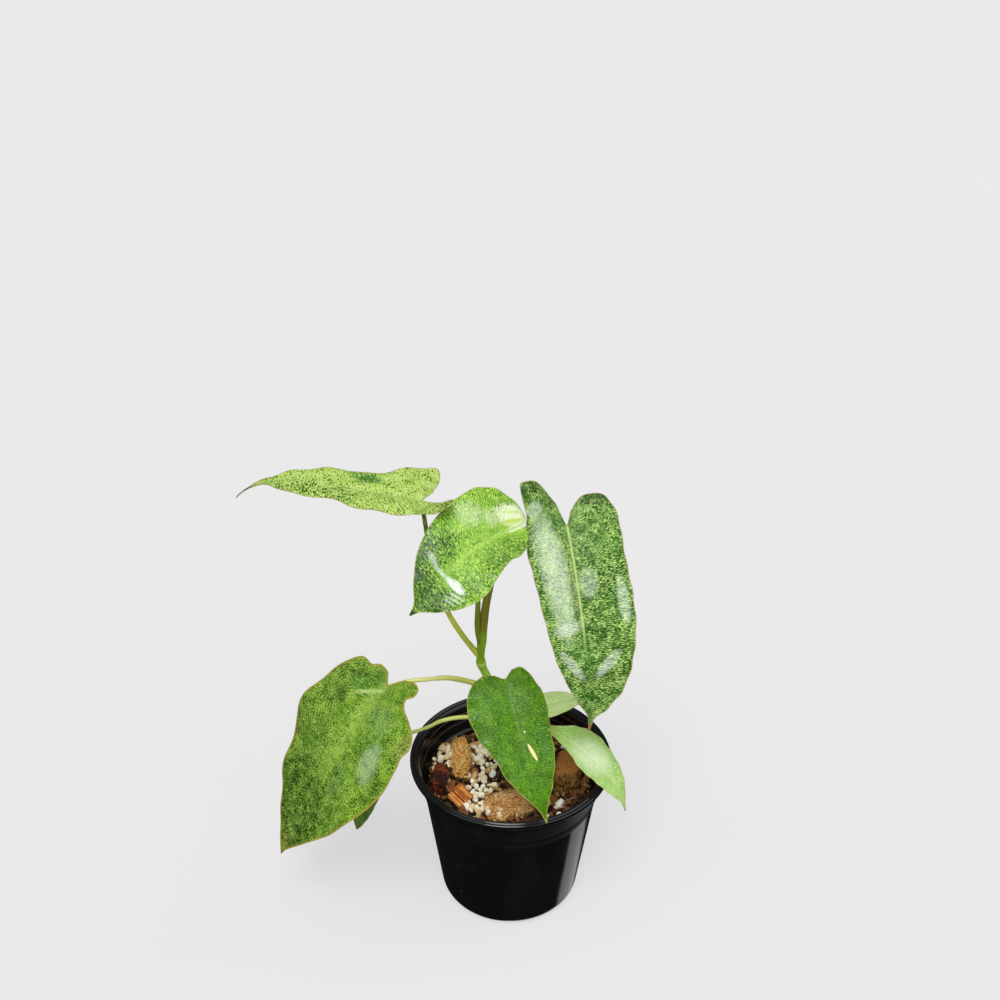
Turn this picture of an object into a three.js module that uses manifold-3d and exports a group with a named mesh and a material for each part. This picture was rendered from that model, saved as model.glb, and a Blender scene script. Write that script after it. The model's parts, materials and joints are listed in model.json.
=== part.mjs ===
// A young philodendron in a round nursery pot: pot, bark mix, stem, and eight leaves on their petioles.
// Millimetres, +Z up, the viewer looks along +Y. The origin is the centre of the pot's underside.
import * as THREE from "three";
import { mergeVertices } from "three/addons/utils/BufferGeometryUtils.js";
import Module from "manifold-3d";

const wasm = await Module();
wasm.setup();

// Driving dimensions
const POT_HEIGHT = 107;
const RIM_RADIUS = 65;
const COLLAR_HEIGHT = 19; // the wider band under the lip
const COLLAR_TOP_RADIUS = 60.6;
const COLLAR_FOOT_RADIUS = 58.2;
const BODY_TOP_RADIUS = 56.6;
const BASE_RADIUS = 45.3;
const BASE_ROUNDING = 4;
const LIP_HEIGHT = 3.2;
const WALL = 1.6;
const FLOOR = 2;
const POT_SIDES = 40;
const DRAIN_HOLES = 8;
const DRAIN_RADIUS = 4;
const DRAIN_CIRCLE = 33;
const MIX_LEVEL = 86;
const GAP = 0.3; // left between pieces that touch
const BLADE_THICKNESS = 0.8;
const PETIOLE_DROP = 1.3; // a petiole's end lies this far under its blade's middle surface
const STEM_FOOT = 48; // the stem is buried down to this height
const FULL_TURN = 2 * Math.PI;

// Materials, with the colours of the photo
const finish = (color, roughness, name) =>
  new THREE.MeshStandardMaterial({ color, roughness, metalness: 0, name });
const potPlastic = finish(0x0e0f12, 0.25, "black glossy plastic");
const mixGrain = finish(0x4a3526, 0.9, "bark and pumice mix");
const paleHusk = finish(0xb98a55, 0.9, "coconut husk");
const redBark = finish(0x7a3f24, 0.85, "pine bark");
const stemGreen = finish(0x93b24a, 0.45, "green stem");
const paleGreen = finish(0xb9c97e, 0.45, "pale petiole");
const oliveBrown = finish(0x7d7a36, 0.5, "olive petiole");
const LEAF_ROUGHNESS = 0.32;

// Solids

/** Joins equal vertices and drops collapsed faces, which gives a closed surface that can be cut. */
function toSolid(geometry) {
  const bare = new THREE.BufferGeometry();
  bare.setAttribute("position", geometry.getAttribute("position"));
  if (geometry.index) bare.setIndex(geometry.index);
  const merged = mergeVertices(bare, 1e-3);
  const corners = merged.index.array;
  const kept = [];
  for (let i = 0; i < corners.length; i += 3) {
    const [a, b, c] = corners.subarray(i, i + 3);
    if (a !== b && b !== c && c !== a) kept.push(a, b, c);
  }
  return new wasm.Manifold(
    new wasm.Mesh({
      numProp: 3,
      vertProperties: merged.getAttribute("position").array,
      triVerts: new Uint32Array(kept),
    }),
  );
}

/** The biggest body of a cut solid, as a geometry: loose scraps are dropped. */
function toGeometry(solid) {
  const bodies = solid.decompose();
  const largest = bodies.reduce((a, b) => (b.volume() > a.volume() ? b : a));
  const mesh = largest.getMesh();
  const geometry = new THREE.BufferGeometry();
  geometry.setAttribute("position", new THREE.BufferAttribute(mesh.vertProperties, 3));
  geometry.setIndex(new THREE.BufferAttribute(mesh.triVerts, 1));
  geometry.computeVertexNormals();
  return geometry;
}

/** A closed solid from rings of points, all of one length, capped at both ends. */
function ringSolid(rings) {
  const sides = rings[0].length;
  const points = rings.flat();
  const triangles = [];
  for (let i = 0; i + 1 < rings.length; i++) {
    for (let j = 0; j < sides; j++) {
      const a = i * sides + j;
      const b = i * sides + ((j + 1) % sides);
      triangles.push(a, b, b + sides, a, b + sides, a + sides);
    }
  }
  for (const [first, turn] of [
    [0, 1],
    [(rings.length - 1) * sides, 0],
  ]) {
    const centre = new THREE.Vector3();
    for (let j = 0; j < sides; j++) centre.addScaledVector(points[first + j], 1 / sides);
    points.push(centre);
    for (let j = 0; j < sides; j++) {
      const pair = [first + j, first + ((j + 1) % sides)];
      triangles.push(points.length - 1, pair[turn], pair[1 - turn]);
    }
  }
  const geometry = new THREE.BufferGeometry().setFromPoints(points);
  geometry.setIndex(triangles);
  return toSolid(geometry);
}

/** A rod along a curve whose radius follows the share of its length. */
function rod(points, radiusAt, steps, sides, grow = 0) {
  const curve = new THREE.CatmullRomCurve3(points.map((p) => new THREE.Vector3(...p)));
  const frames = curve.computeFrenetFrames(steps, false);
  const rings = [];
  for (let i = 0; i <= steps; i++) {
    const centre = curve.getPointAt(i / steps);
    const radius = radiusAt(i / steps) + grow;
    const ring = [];
    for (let j = 0; j < sides; j++) {
      const angle = (j / sides) * FULL_TURN;
      ring.push(
        centre
          .clone()
          .addScaledVector(frames.normals[i], radius * Math.cos(angle))
          .addScaledVector(frames.binormals[i], radius * Math.sin(angle)),
      );
    }
    rings.push(ring);
  }
  return ringSolid(rings);
}

/** A repeatable stream of numbers from 0 to 1. */
function seededRandom(seed) {
  let state = seed;
  return () => {
    state = (state * 1664525 + 1013904223) % 4294967296;
    return state / 4294967296;
  };
}

// Pot

const INNER_FOOT = { radius: BASE_RADIUS - WALL, z: FLOOR + 3 };
const INNER_SHOULDER = { radius: BODY_TOP_RADIUS - WALL, z: POT_HEIGHT - COLLAR_HEIGHT - 1.4 };
const FLOOR_RADIUS = BASE_RADIUS - WALL - 2.5;

/** Clear radius inside the pot's faceted wall at a height. */
function clearRadius(z) {
  const share = (z - INNER_FOOT.z) / (INNER_SHOULDER.z - INNER_FOOT.z);
  const radius = INNER_FOOT.radius + share * (INNER_SHOULDER.radius - INNER_FOOT.radius);
  return radius * Math.cos(Math.PI / POT_SIDES) - GAP;
}

function potSolid() {
  const step = POT_HEIGHT - COLLAR_HEIGHT;
  const lipFoot = POT_HEIGHT - LIP_HEIGHT;
  const rounding = [0, 0.33, 0.67, 1].map((share) => {
    const angle = (share * Math.PI) / 2;
    return [
      BASE_RADIUS - BASE_ROUNDING * (1 - Math.sin(angle)),
      BASE_ROUNDING * (1 - Math.cos(angle)),
    ];
  });
  const profile = [
    [0, 0],
    ...rounding,
    [BODY_TOP_RADIUS, step - 1.2],
    [COLLAR_FOOT_RADIUS, step],
    [COLLAR_TOP_RADIUS, lipFoot],
    [RIM_RADIUS - 0.5, lipFoot],
    [RIM_RADIUS, lipFoot + 0.6],
    [RIM_RADIUS, POT_HEIGHT - 0.7],
    [RIM_RADIUS - 0.6, POT_HEIGHT],
    [RIM_RADIUS - 1.6, POT_HEIGHT - 0.1],
    [RIM_RADIUS - 2.4, POT_HEIGHT - 0.9],
    [RIM_RADIUS - 3.2, POT_HEIGHT - 0.2],
    [RIM_RADIUS - 4.6, POT_HEIGHT - 0.3],
    [COLLAR_TOP_RADIUS - WALL, POT_HEIGHT - 2.4],
    [COLLAR_FOOT_RADIUS - WALL, step],
    [INNER_SHOULDER.radius, INNER_SHOULDER.z],
    [INNER_FOOT.radius, INNER_FOOT.z],
    [FLOOR_RADIUS, FLOOR],
    [0, FLOOR],
  ];
  const shell = new THREE.LatheGeometry(
    profile.map(([radius, z]) => new THREE.Vector2(radius, z)),
    POT_SIDES,
  );
  shell.rotateX(Math.PI / 2);
  let pot = toSolid(shell);
  for (let i = 0; i < DRAIN_HOLES; i++) {
    const drill = new THREE.CylinderGeometry(DRAIN_RADIUS, DRAIN_RADIUS, 6 * FLOOR, 8);
    drill.rotateX(Math.PI / 2);
    drill.translate(DRAIN_CIRCLE, 0, 0);
    drill.rotateZ(((i + 0.5) / DRAIN_HOLES) * FULL_TURN);
    pot = pot.subtract(toSolid(drill));
  }
  return pot;
}

// Stem: each node ring is a small swelling where a petiole leaves
const STEM_PATH = [
  [2, 11, STEM_FOOT],
  [-1, 12, 88],
  [-5, 13, 112],
  [-11, 14, 138],
  [-15.5, 14, 159],
  [-19.5, 14, 171],
  [-19, 14, 189],
];
const STEM_NODES = [0.42, 0.55, 0.68, 0.87];

function stemRadius(share) {
  const swelling = STEM_NODES.reduce(
    (sum, place) => sum + 0.75 * Math.exp(-(((share - place) / 0.022) ** 2)),
    0,
  );
  return 3.6 - 1.5 * share + swelling + 0.7 * Math.max(0, (share - 0.9) / 0.1);
}

const stemSolid = (grow = 0) => rod(STEM_PATH, stemRadius, 26, 8, grow);

// Leaves: a blade hangs between its base, where the petiole ends, and its tip. The midrib leaves the
// straight line between them by the angles rise and droop, and bows sideways by bend. The halves fold up
// from the midrib by the slope fold and curl down again towards the margin. Each half's outline is
// [across, along], right and left as seen from above looking along the leaf: the first point ends the
// straight edge of the notch at the base, and the last is the tip. The basal lobes rise by lobeLift.
const LEAVES = [
  {
    name: "upper_left",
    color: 0xa9c455,
    base: [-54, 11, 291],
    tip: [-163, 16, 289],
    roll: -5,
    rise: 5,
    droop: 48,
    bend: 0,
    fold: 0.22,
    curl: 0.3,
    halfWidth: 27,
    wave: [1.6, 2.4, 0.1],
    lobeLift: [0, 30],
    right: [
      [7, -6], [19, -9], [29, -6], [28, 8], [20, 26],
      [16, 42], [11, 62], [5, 82], [1.4, 97], [0.5, 110],
    ],
    left: [
      [5, -12], [11, -19], [19, -16], [17, 0], [19, 18], [20, 34],
      [15, 50], [15, 64], [9, 77], [2, 90], [0.5, 110],
    ],
  },
  {
    name: "centre",
    color: 0x86ad3f,
    base: [-6, -1, 277],
    tip: [-58, -46, 249],
    roll: -34,
    rise: 28,
    droop: 22,
    bend: 10,
    fold: 0.3,
    curl: 0.3,
    halfWidth: 30,
    wave: [0.8, 2.2, 0.3],
    lobeLift: [0, 0],
    right: [
      [1, -12], [4, -19], [12, -20], [21, -17], [29, -7], [31, 8],
      [28, 28], [21, 45], [10, 59], [2, 68], [0.5, 74],
    ],
    left: [
      [1.4, -12], [4, -18], [10, -17], [15, -8], [18, 6], [22, 21],
      [25, 36], [22, 50], [13, 62], [3, 70], [0.5, 74],
    ],
  },
  {
    name: "right",
    color: 0x5e8d38,
    base: [32, 21, 268],
    tip: [47, -34, 157],
    roll: 0,
    rise: 20,
    droop: 38,
    bend: -6,
    fold: 0.2,
    curl: 0.3,
    halfWidth: 30,
    wave: [0.8, 2.6, 0.6],
    lobeLift: [24, 0],
    right: [
      [3, -15], [11, -26], [20, -27], [24, -12], [28, 6], [28, 34],
      [26, 54], [22, 76], [11, 100], [3, 112], [0.5, 125],
    ],
    left: [
      [5, -9], [14, -16], [27, -14], [32, -4], [30, 22], [30, 44],
      [27, 70], [20, 93], [9, 108], [2, 115], [0.5, 125],
    ],
  },
  {
    name: "lower_left",
    color: 0x6f9a3f,
    base: [-76, -12, 172],
    tip: [-149, -28, 45],
    roll: -27,
    rise: 20,
    droop: 18,
    bend: -3,
    fold: 0.2,
    curl: 0.3,
    halfWidth: 42,
    wave: [1.6, 3.2, 0.2],
    lobeLift: [0, 0],
    right: [
      [6, -6], [13, -6], [18, -2], [26, -1], [35, 11], [43, 34],
      [45, 57], [36, 72], [32, 88], [19, 112], [5, 138], [0.5, 147],
    ],
    left: [
      [8, -11], [19, -13], [19, -1], [30, 6], [43, 20], [46, 40],
      [41, 68], [31, 93], [16, 118], [3, 140], [0.5, 147],
    ],
  },
  {
    name: "hidden_left",
    color: 0x4d7a35,
    base: [-80, 5, 116],
    tip: [-104, 8, 32],
    roll: -50,
    rise: 18,
    droop: 16,
    bend: 0,
    fold: 0.15,
    curl: 0.25,
    halfWidth: 17,
    wave: [0.5, 2, 0.4],
    lobeLift: [0, 0],
    right: [[6, -6], [12, -4], [15, 8], [15, 30], [12, 56], [5, 77], [0.5, 87]],
    left: [[6, -6], [12, -4], [15, 9], [15, 32], [12, 58], [5, 78], [0.5, 87]],
  },
  {
    name: "front",
    color: 0x5f8f3c,
    base: [-4, -11, 177],
    tip: [22, -68, 114],
    roll: 3,
    rise: 11,
    droop: 29,
    bend: 10,
    fold: 0.15,
    curl: 0.25,
    halfWidth: 25,
    wave: [0.8, 2.2, 0.5],
    lobeLift: [0, 0],
    right: [
      [7, -3], [14, -3], [23, 4], [27, 17], [24, 33],
      [18, 44], [16, 53], [9, 67], [2, 80], [0.5, 89],
    ],
    left: [
      [5, -6], [11, -7], [17, 0], [22, 14], [21, 34],
      [18, 52], [11, 68], [3, 81], [0.5, 89],
    ],
  },
  {
    name: "small_back",
    color: 0xa7c274,
    base: [12, 28, 120],
    tip: [49, 38, 122],
    roll: 0,
    rise: 14,
    droop: 18,
    bend: 0,
    fold: 0.15,
    curl: 0.2,
    halfWidth: 12,
    wave: [0.3, 2, 0],
    lobeLift: [0, 0],
    right: [[6, -2], [11, 5], [12, 14], [9, 25], [4, 33], [0.5, 38]],
    left: [[6, -2], [11, 5], [12, 15], [10, 26], [5, 33], [0.5, 38]],
  },
  {
    name: "small_right",
    color: 0x8db25c,
    base: [21, -4, 134],
    tip: [72, -38, 96],
    roll: 0,
    rise: 20,
    droop: 38,
    bend: -10,
    fold: 0.15,
    curl: 0.25,
    halfWidth: 17,
    wave: [0.4, 2, 0.3],
    lobeLift: [0, 0],
    right: [[1.6, 0], [4, 8], [8, 20], [13, 32], [12, 43], [8, 56], [2, 66], [0.5, 72]],
    left: [[1.6, 0], [6, 7], [14, 16], [18, 27], [15, 41], [9, 55], [2, 67], [0.5, 72]],
  },
];

const radians = THREE.MathUtils.degToRad;

/** A leaf's base, tip and length, the direction to its right, and its midrib's slopes at both ends. */
function leafFrame(leaf) {
  const base = new THREE.Vector3(...leaf.base);
  const tip = new THREE.Vector3(...leaf.tip);
  const length = base.distanceTo(tip);
  const along = tip.clone().sub(base).normalize();
  const face = new THREE.Vector3(0, 0, 1).addScaledVector(along, -along.z).normalize();
  face.applyAxisAngle(along, radians(leaf.roll));
  const side = along.clone().cross(face);
  const slope = (pitch, yaw) =>
    along
      .clone()
      .multiplyScalar(Math.cos(radians(pitch)) * Math.cos(radians(yaw)))
      .addScaledVector(face, Math.sin(radians(pitch)))
      .addScaledVector(side, Math.sin(radians(yaw)))
      .normalize();
  const start = slope(leaf.rise, leaf.bend);
  const end = slope(-leaf.droop, -leaf.bend);
  return { base, tip, length, side, start, end };
}

/** The point of the blade's middle surface at a place across and along the flat leaf. */
function bladePoint(leaf, frame, across, y) {
  const { base, tip, length, side, start, end } = frame;
  const t = THREE.MathUtils.clamp(y / length, 0, 1);
  const centre = new THREE.Vector3()
    .addScaledVector(base, 2 * t ** 3 - 3 * t ** 2 + 1)
    .addScaledVector(start, length * (t ** 3 - 2 * t ** 2 + t))
    .addScaledVector(tip, 3 * t ** 2 - 2 * t ** 3)
    .addScaledVector(end, length * (t ** 3 - t ** 2));
  const forward = new THREE.Vector3()
    .addScaledVector(base, 6 * t ** 2 - 6 * t)
    .addScaledVector(start, length * (3 * t ** 2 - 4 * t + 1))
    .addScaledVector(tip, 6 * t - 6 * t ** 2)
    .addScaledVector(end, length * (3 * t ** 2 - 2 * t))
    .normalize();
  const right = side.clone().addScaledVector(forward, -forward.dot(side)).normalize();
  const up = right.clone().cross(forward);
  const share = Math.abs(across) / leaf.halfWidth;
  const back = Math.min(y, 0);
  const lobe = leaf.lobeLift[across < 0 ? 1 : 0];
  const [waveHeight, waves, phase] = leaf.wave;
  const ridge = Math.sqrt(share * share + 0.0025) - 0.05;
  const lift =
    leaf.halfWidth * (leaf.fold * (1 - 0.55 * t) * ridge - leaf.curl * share * share * 0.5) -
    back * Math.tan(radians(lobe)) * Math.min(1, 2 * share) +
    waveHeight * share * share * Math.sin(FULL_TURN * (waves * t + phase + (across < 0 ? 0.35 : 0)));
  return centre
    .addScaledVector(forward, back + Math.max(y - length, 0))
    .addScaledVector(right, across)
    .addScaledVector(up, lift);
}

/** How far along the midrib the lateral vein starts that ends at a share of the margin's length. */
const veinRoot = (share) => 0.04 * share + 0.96 * Math.max(0, (share - 0.12) / 0.88) ** 1.15;

/** One half's margin, as evenly spaced points in the flat leaf. */
function marginPoints(outline, rows) {
  const curve = new THREE.CatmullRomCurve3(outline.map(([x, y]) => new THREE.Vector3(x, y, 0)));
  return curve.getSpacedPoints(rows);
}

function leafSolid(leaf, rows, columns, grow = 0) {
  const frame = leafFrame(leaf);
  const margins = { right: marginPoints(leaf.right, rows), left: marginPoints(leaf.left, rows) };
  const faces = { upper: [], lower: [] };
  const half = BLADE_THICKNESS / 2 + grow;
  const nudge = 0.3;
  for (let i = 0; i <= rows; i++) {
    const root = frame.length * veinRoot(i / rows);
    for (let j = -columns; j <= columns; j++) {
      const margin = j < 0 ? margins.left[i] : margins.right[i];
      const share = Math.abs(j) / columns;
      const across = Math.sign(j) * share * (margin.x + grow);
      const y = root + share * (margin.y - root);
      const point = bladePoint(leaf, frame, across, y);
      const normal = bladePoint(leaf, frame, across + nudge, y)
        .sub(bladePoint(leaf, frame, across - nudge, y))
        .cross(
          bladePoint(leaf, frame, across, y + nudge).sub(bladePoint(leaf, frame, across, y - nudge)),
        )
        .normalize();
      faces.upper.push(point.clone().addScaledVector(normal, half));
      faces.lower.push(point.clone().addScaledVector(normal, -half));
    }
  }
  const width = 2 * columns + 1;
  const below = (rows + 1) * width;
  const triangles = [];
  for (let i = 0; i < rows; i++) {
    for (let j = 0; j + 1 < width; j++) {
      const a = i * width + j;
      const [b, c, d] = [a + 1, a + width + 1, a + width];
      triangles.push(a, b, c, a, c, d);
      triangles.push(below + a, below + c, below + b, below + a, below + d, below + c);
    }
  }
  const edge = [];
  for (let j = 0; j < width; j++) edge.push(j);
  for (let i = 1; i <= rows; i++) edge.push(i * width + width - 1);
  for (let j = width - 2; j >= 0; j--) edge.push(rows * width + j);
  for (let i = rows - 1; i > 0; i--) edge.push(i * width);
  edge.forEach((a, k) => {
    const b = edge[(k + 1) % edge.length];
    triangles.push(b, a, below + a, b, below + a, below + b);
  });
  const geometry = new THREE.BufferGeometry().setFromPoints([...faces.upper, ...faces.lower]);
  geometry.setIndex(triangles);
  return toSolid(geometry);
}

// Petioles: each runs from inside the stem to the base of its blade, thicker at the stem
const PETIOLES = [
  {
    leaf: "upper_left",
    material: paleGreen,
    radii: [1.9, 1.3],
    path: [
      [-19.5, 14, 174], [-30, 14, 190], [-39, 14, 207],
      [-46, 15, 226], [-50, 14, 248], [-52, 13, 271],
    ],
  },
  {
    leaf: "right",
    material: oliveBrown,
    radii: [3.2, 1.5],
    path: [
      [-18.9, 14, 189.6], [-18, 14, 201], [-15, 13, 224], [-10, 18, 242],
      [-1, 23, 255], [8, 27, 262], [20, 28, 267],
    ],
  },
  {
    leaf: "centre",
    material: oliveBrown,
    radii: [1.5, 1.2],
    path: [[-20, 13, 187], [-22, 12, 199], [-22, 12, 215], [-21, 9, 237], [-16, 5, 257]],
  },
  {
    leaf: "lower_left",
    material: paleGreen,
    radii: [2.1, 1.2],
    path: [[-13, 14, 147], [-24, 8, 159], [-40, 0, 169], [-52, -6, 172.5], [-64, -9, 173]],
  },
  {
    leaf: "hidden_left",
    material: paleGreen,
    radii: [1.6, 1.1],
    path: [[-8, 13, 124], [-28, 12, 128], [-44, 10, 126.5], [-54, 9, 121.5], [-66, 7, 118]],
  },
  {
    leaf: "front",
    material: paleGreen,
    radii: [1.7, 1.2],
    path: [[-10, 14, 134], [-9, 8, 148], [-7, -2, 163]],
  },
  {
    leaf: "small_back",
    material: paleGreen,
    radii: [1.3, 0.9],
    path: [[-4, 12.5, 104], [3, 19, 113]],
  },
  {
    leaf: "small_right",
    material: paleGreen,
    radii: [1.4, 0.9],
    path: [[-4, 12.5, 108], [4, 8, 122], [13, 1, 131]],
  },
];

function petioleSolid(petiole, grow = 0) {
  const leaf = LEAVES.find((candidate) => candidate.name === petiole.leaf);
  const [wide, narrow] = petiole.radii;
  const radiusAt = (share) => narrow + (wide - narrow) * (1 - share) ** 1.3;
  const { base, side, start } = leafFrame(leaf);
  const end = base.clone().addScaledVector(side.clone().cross(start), -PETIOLE_DROP);
  return rod([...petiole.path, end.toArray()], radiusAt, 16, 8, grow);
}

// Bark and husk chunks lying in the mix: centre, half sizes, and turns about Z, Y and X in degrees
const CHUNKS = [
  {
    name: "husk_left",
    material: paleHusk,
    at: [-33, 14, 92],
    half: [6.5, 19, 6.5],
    turn: [4, 0, -8],
    seed: 1,
  },
  {
    name: "bark_left",
    material: redBark,
    at: [-46, -5, 90],
    half: [6, 10, 8],
    turn: [-12, 20, 10],
    seed: 2,
  },
  {
    name: "husk_block",
    material: redBark,
    at: [-32, -20, 90],
    half: [7, 7.5, 8],
    turn: [28, 8, -12],
    seed: 3,
  },
  {
    name: "husk_front",
    material: paleHusk,
    at: [-1, -27, 87],
    half: [16, 11, 5],
    turn: [18, 0, 16],
    seed: 4,
  },
  {
    name: "husk_right",
    material: paleHusk,
    at: [37, 2, 90],
    half: [9, 14, 10],
    turn: [-10, 6, 8],
    seed: 5,
  },
  {
    name: "bark_front",
    material: redBark,
    at: [14, -41, 86],
    half: [8, 4, 4],
    turn: [12, 0, 0],
    seed: 6,
  },
  {
    name: "bark_back",
    material: redBark,
    at: [29, 41, 91],
    half: [6, 3, 5],
    turn: [-35, 0, -14],
    seed: 7,
  },
];

/** A rough chunk between a ball and a block, with dents set by its seed. */
function chunkSolid(chunk, grow = 0) {
  const geometry = new THREE.IcosahedronGeometry(1, 1);
  const position = geometry.getAttribute("position");
  const turn = new THREE.Matrix4().makeRotationFromEuler(
    new THREE.Euler(...[...chunk.turn].reverse().map(radians), "ZYX"),
  );
  const point = new THREE.Vector3();
  for (let i = 0; i < position.count; i++) {
    point.fromBufferAttribute(position, i);
    const { x, y, z } = point;
    const squareness = (x ** 4 + y ** 4 + z ** 4) ** -0.25;
    const dent = 0.07 * Math.sin(6 * x + chunk.seed) + 0.07 * Math.sin(7 * y - 5 * z + 2 * chunk.seed);
    point.multiplyScalar(squareness * (0.93 + dent));
    point.multiply(new THREE.Vector3(...chunk.half.map((size) => size + grow)));
    position.setXYZ(i, point.x, point.y, point.z);
  }
  geometry.applyMatrix4(turn);
  geometry.translate(...chunk.at);
  return toSolid(geometry);
}

// Mix: a plug that fills the pot, with an uneven top and pumice and bark grains fused into it
const GRAIN_PATCHES = [
  { at: [-47, 16], spread: [6, 11], count: 8 },
  { at: [-18, 18], spread: [9, 12], count: 12 },
  { at: [-21, -8], spread: [6, 9], count: 8 },
  { at: [-19, -33], spread: [7, 7], count: 6 },
  { at: [27, -31], spread: [9, 7], count: 6 },
  { at: [14, 32], spread: [20, 14], count: 6 },
  { at: [12, 0], spread: [12, 14], count: 5 },
];

/** Height of the mix's surface at a place. */
function mixHeight(x, y) {
  const waves =
    Math.sin(0.21 * x + 0.8) * Math.cos(0.19 * y - 0.4) + 0.6 * Math.sin(0.43 * x - 0.37 * y + 1.1);
  return MIX_LEVEL + 1.1 * waves;
}

function mixSolid(cutters) {
  const sides = 32;
  const rings = [];
  const ringAt = (radius, heightAt) => {
    const ring = [];
    for (let j = 0; j < sides; j++) {
      const angle = (j / sides) * FULL_TURN;
      const [x, y] = [radius * Math.cos(angle), radius * Math.sin(angle)];
      ring.push(new THREE.Vector3(x, y, heightAt(x, y)));
    }
    return ring;
  };
  rings.push(ringAt(FLOOR_RADIUS - 2 * GAP, () => FLOOR + GAP));
  rings.push(ringAt(clearRadius(INNER_FOOT.z), () => INNER_FOOT.z + GAP));
  const topRadius = clearRadius(MIX_LEVEL - 2);
  rings.push(ringAt(topRadius, (x, y) => Math.min(mixHeight(x, y), MIX_LEVEL) - 1));
  for (const share of [0.85, 0.65, 0.45, 0.25]) rings.push(ringAt(share * topRadius, mixHeight));
  let mix = ringSolid(rings);
  const random = seededRandom(11);
  const around = () => random() + random() - 1;
  for (const patch of GRAIN_PATCHES) {
    for (let i = 0; i < patch.count; i++) {
      const x = patch.at[0] + patch.spread[0] * around() * 1.4;
      const y = patch.at[1] + patch.spread[1] * around() * 1.4;
      const size = 1.8 + 1.3 * random();
      const grain = new THREE.IcosahedronGeometry(size, 0);
      grain.scale(1, 0.8 + 0.4 * random(), 0.85);
      grain.rotateX(random() * FULL_TURN);
      grain.rotateZ(random() * FULL_TURN);
      grain.translate(x, y, mixHeight(x, y) + 0.35 * size);
      if (Math.hypot(x, y) < topRadius - 1.5 * size) mix = mix.add(toSolid(grain));
    }
  }
  return cutters.reduce((solid, cutter) => solid.subtract(cutter), mix);
}

// Assembly
const plant = new THREE.Group();

function place(name, solid, material) {
  const mesh = new THREE.Mesh(toGeometry(solid), material);
  mesh.name = name;
  plant.add(mesh);
}

place("pot", potSolid(), potPlastic);
place(
  "potting_mix",
  mixSolid([stemSolid(GAP), ...CHUNKS.map((chunk) => chunkSolid(chunk, GAP))]),
  mixGrain,
);
for (const chunk of CHUNKS) place(chunk.name, chunkSolid(chunk), chunk.material);
place("stem", stemSolid(), stemGreen);

const SMALL_LEAVES = ["small_back", "small_right", "hidden_left"];
const leafDetail = (leaf) => (SMALL_LEAVES.includes(leaf.name) ? [14, 2] : [22, 3]);

const stemCutter = stemSolid(GAP);
let sheath = null;
for (const petiole of PETIOLES) {
  const leaf = LEAVES.find((candidate) => candidate.name === petiole.leaf);
  let solid = petioleSolid(petiole).subtract(stemCutter);
  solid = solid.subtract(leafSolid(leaf, ...leafDetail(leaf), GAP));
  if (petiole.leaf === "centre") solid = solid.subtract(sheath);
  if (petiole.leaf === "right") sheath = petioleSolid(petiole, GAP);
  place("petiole_" + petiole.leaf, solid, petiole.material);
}
for (const leaf of LEAVES) {
  const material = finish(leaf.color, LEAF_ROUGHNESS, "leaf " + leaf.name);
  place("leaf_" + leaf.name, leafSolid(leaf, ...leafDetail(leaf)), material);
}

export default plant;
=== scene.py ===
"""Looks of a young philodendron in a nursery pot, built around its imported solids.

Sizes in the classes are millimetres, as in the part's own source; meshes are made in metres, +Z up.
"""

import json
import logging
import math
from collections.abc import Callable
from dataclasses import dataclass, replace
from enum import Enum

import bpy
import numpy as np
from mathutils import Matrix, Vector, noise

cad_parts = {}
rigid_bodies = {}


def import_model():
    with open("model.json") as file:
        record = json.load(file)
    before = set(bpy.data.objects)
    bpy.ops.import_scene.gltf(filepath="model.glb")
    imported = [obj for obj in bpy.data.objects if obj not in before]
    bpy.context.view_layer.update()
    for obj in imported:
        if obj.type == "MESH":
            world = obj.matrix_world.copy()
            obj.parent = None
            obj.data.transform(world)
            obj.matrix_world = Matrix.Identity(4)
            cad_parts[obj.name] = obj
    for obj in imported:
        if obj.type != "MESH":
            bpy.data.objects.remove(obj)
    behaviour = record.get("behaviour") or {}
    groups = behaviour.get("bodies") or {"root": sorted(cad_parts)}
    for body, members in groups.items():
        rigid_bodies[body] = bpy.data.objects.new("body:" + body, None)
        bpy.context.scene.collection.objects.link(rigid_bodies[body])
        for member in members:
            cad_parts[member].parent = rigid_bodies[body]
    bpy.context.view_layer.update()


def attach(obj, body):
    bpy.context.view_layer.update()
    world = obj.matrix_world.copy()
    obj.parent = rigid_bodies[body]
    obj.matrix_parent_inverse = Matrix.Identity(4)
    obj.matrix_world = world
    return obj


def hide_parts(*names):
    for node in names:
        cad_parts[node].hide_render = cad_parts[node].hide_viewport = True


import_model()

log = logging.getLogger("plant")

Colour = int | tuple[float, float, float]
Point = tuple[float, float, float]
Pair = tuple[float, float]
Grid = np.ndarray

MM = 0.001
FULL_TURN = 2 * math.pi
BODY = "root"

# Paths and dents: samples between two knots of a path, and the way through the noise from one seed to the next.
CURVE_SAMPLES = 48
SEED_STEP = (17.3, 9.1, 5.7)

# Lathe: the distance under which points merge, in metres, and the sides of a drill.
WELD = 1e-6
DRILL_SIDES = 28

# Stalks: the fineness of their unevenness, per metre, and the share of the path where the flare starts and runs.
BUMP_SCALE = 160.0
FLARE_FROM, FLARE_SPAN = 0.9, 0.1

# Grains: square centimetres in a square metre, the highest number drawn for a shape, and the shapes' first seeds.
PER_CM2 = 1e4
SHAPE_CHOICES = 99
STONE_SEED, FIBRE_SEED = 40, 80

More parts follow.
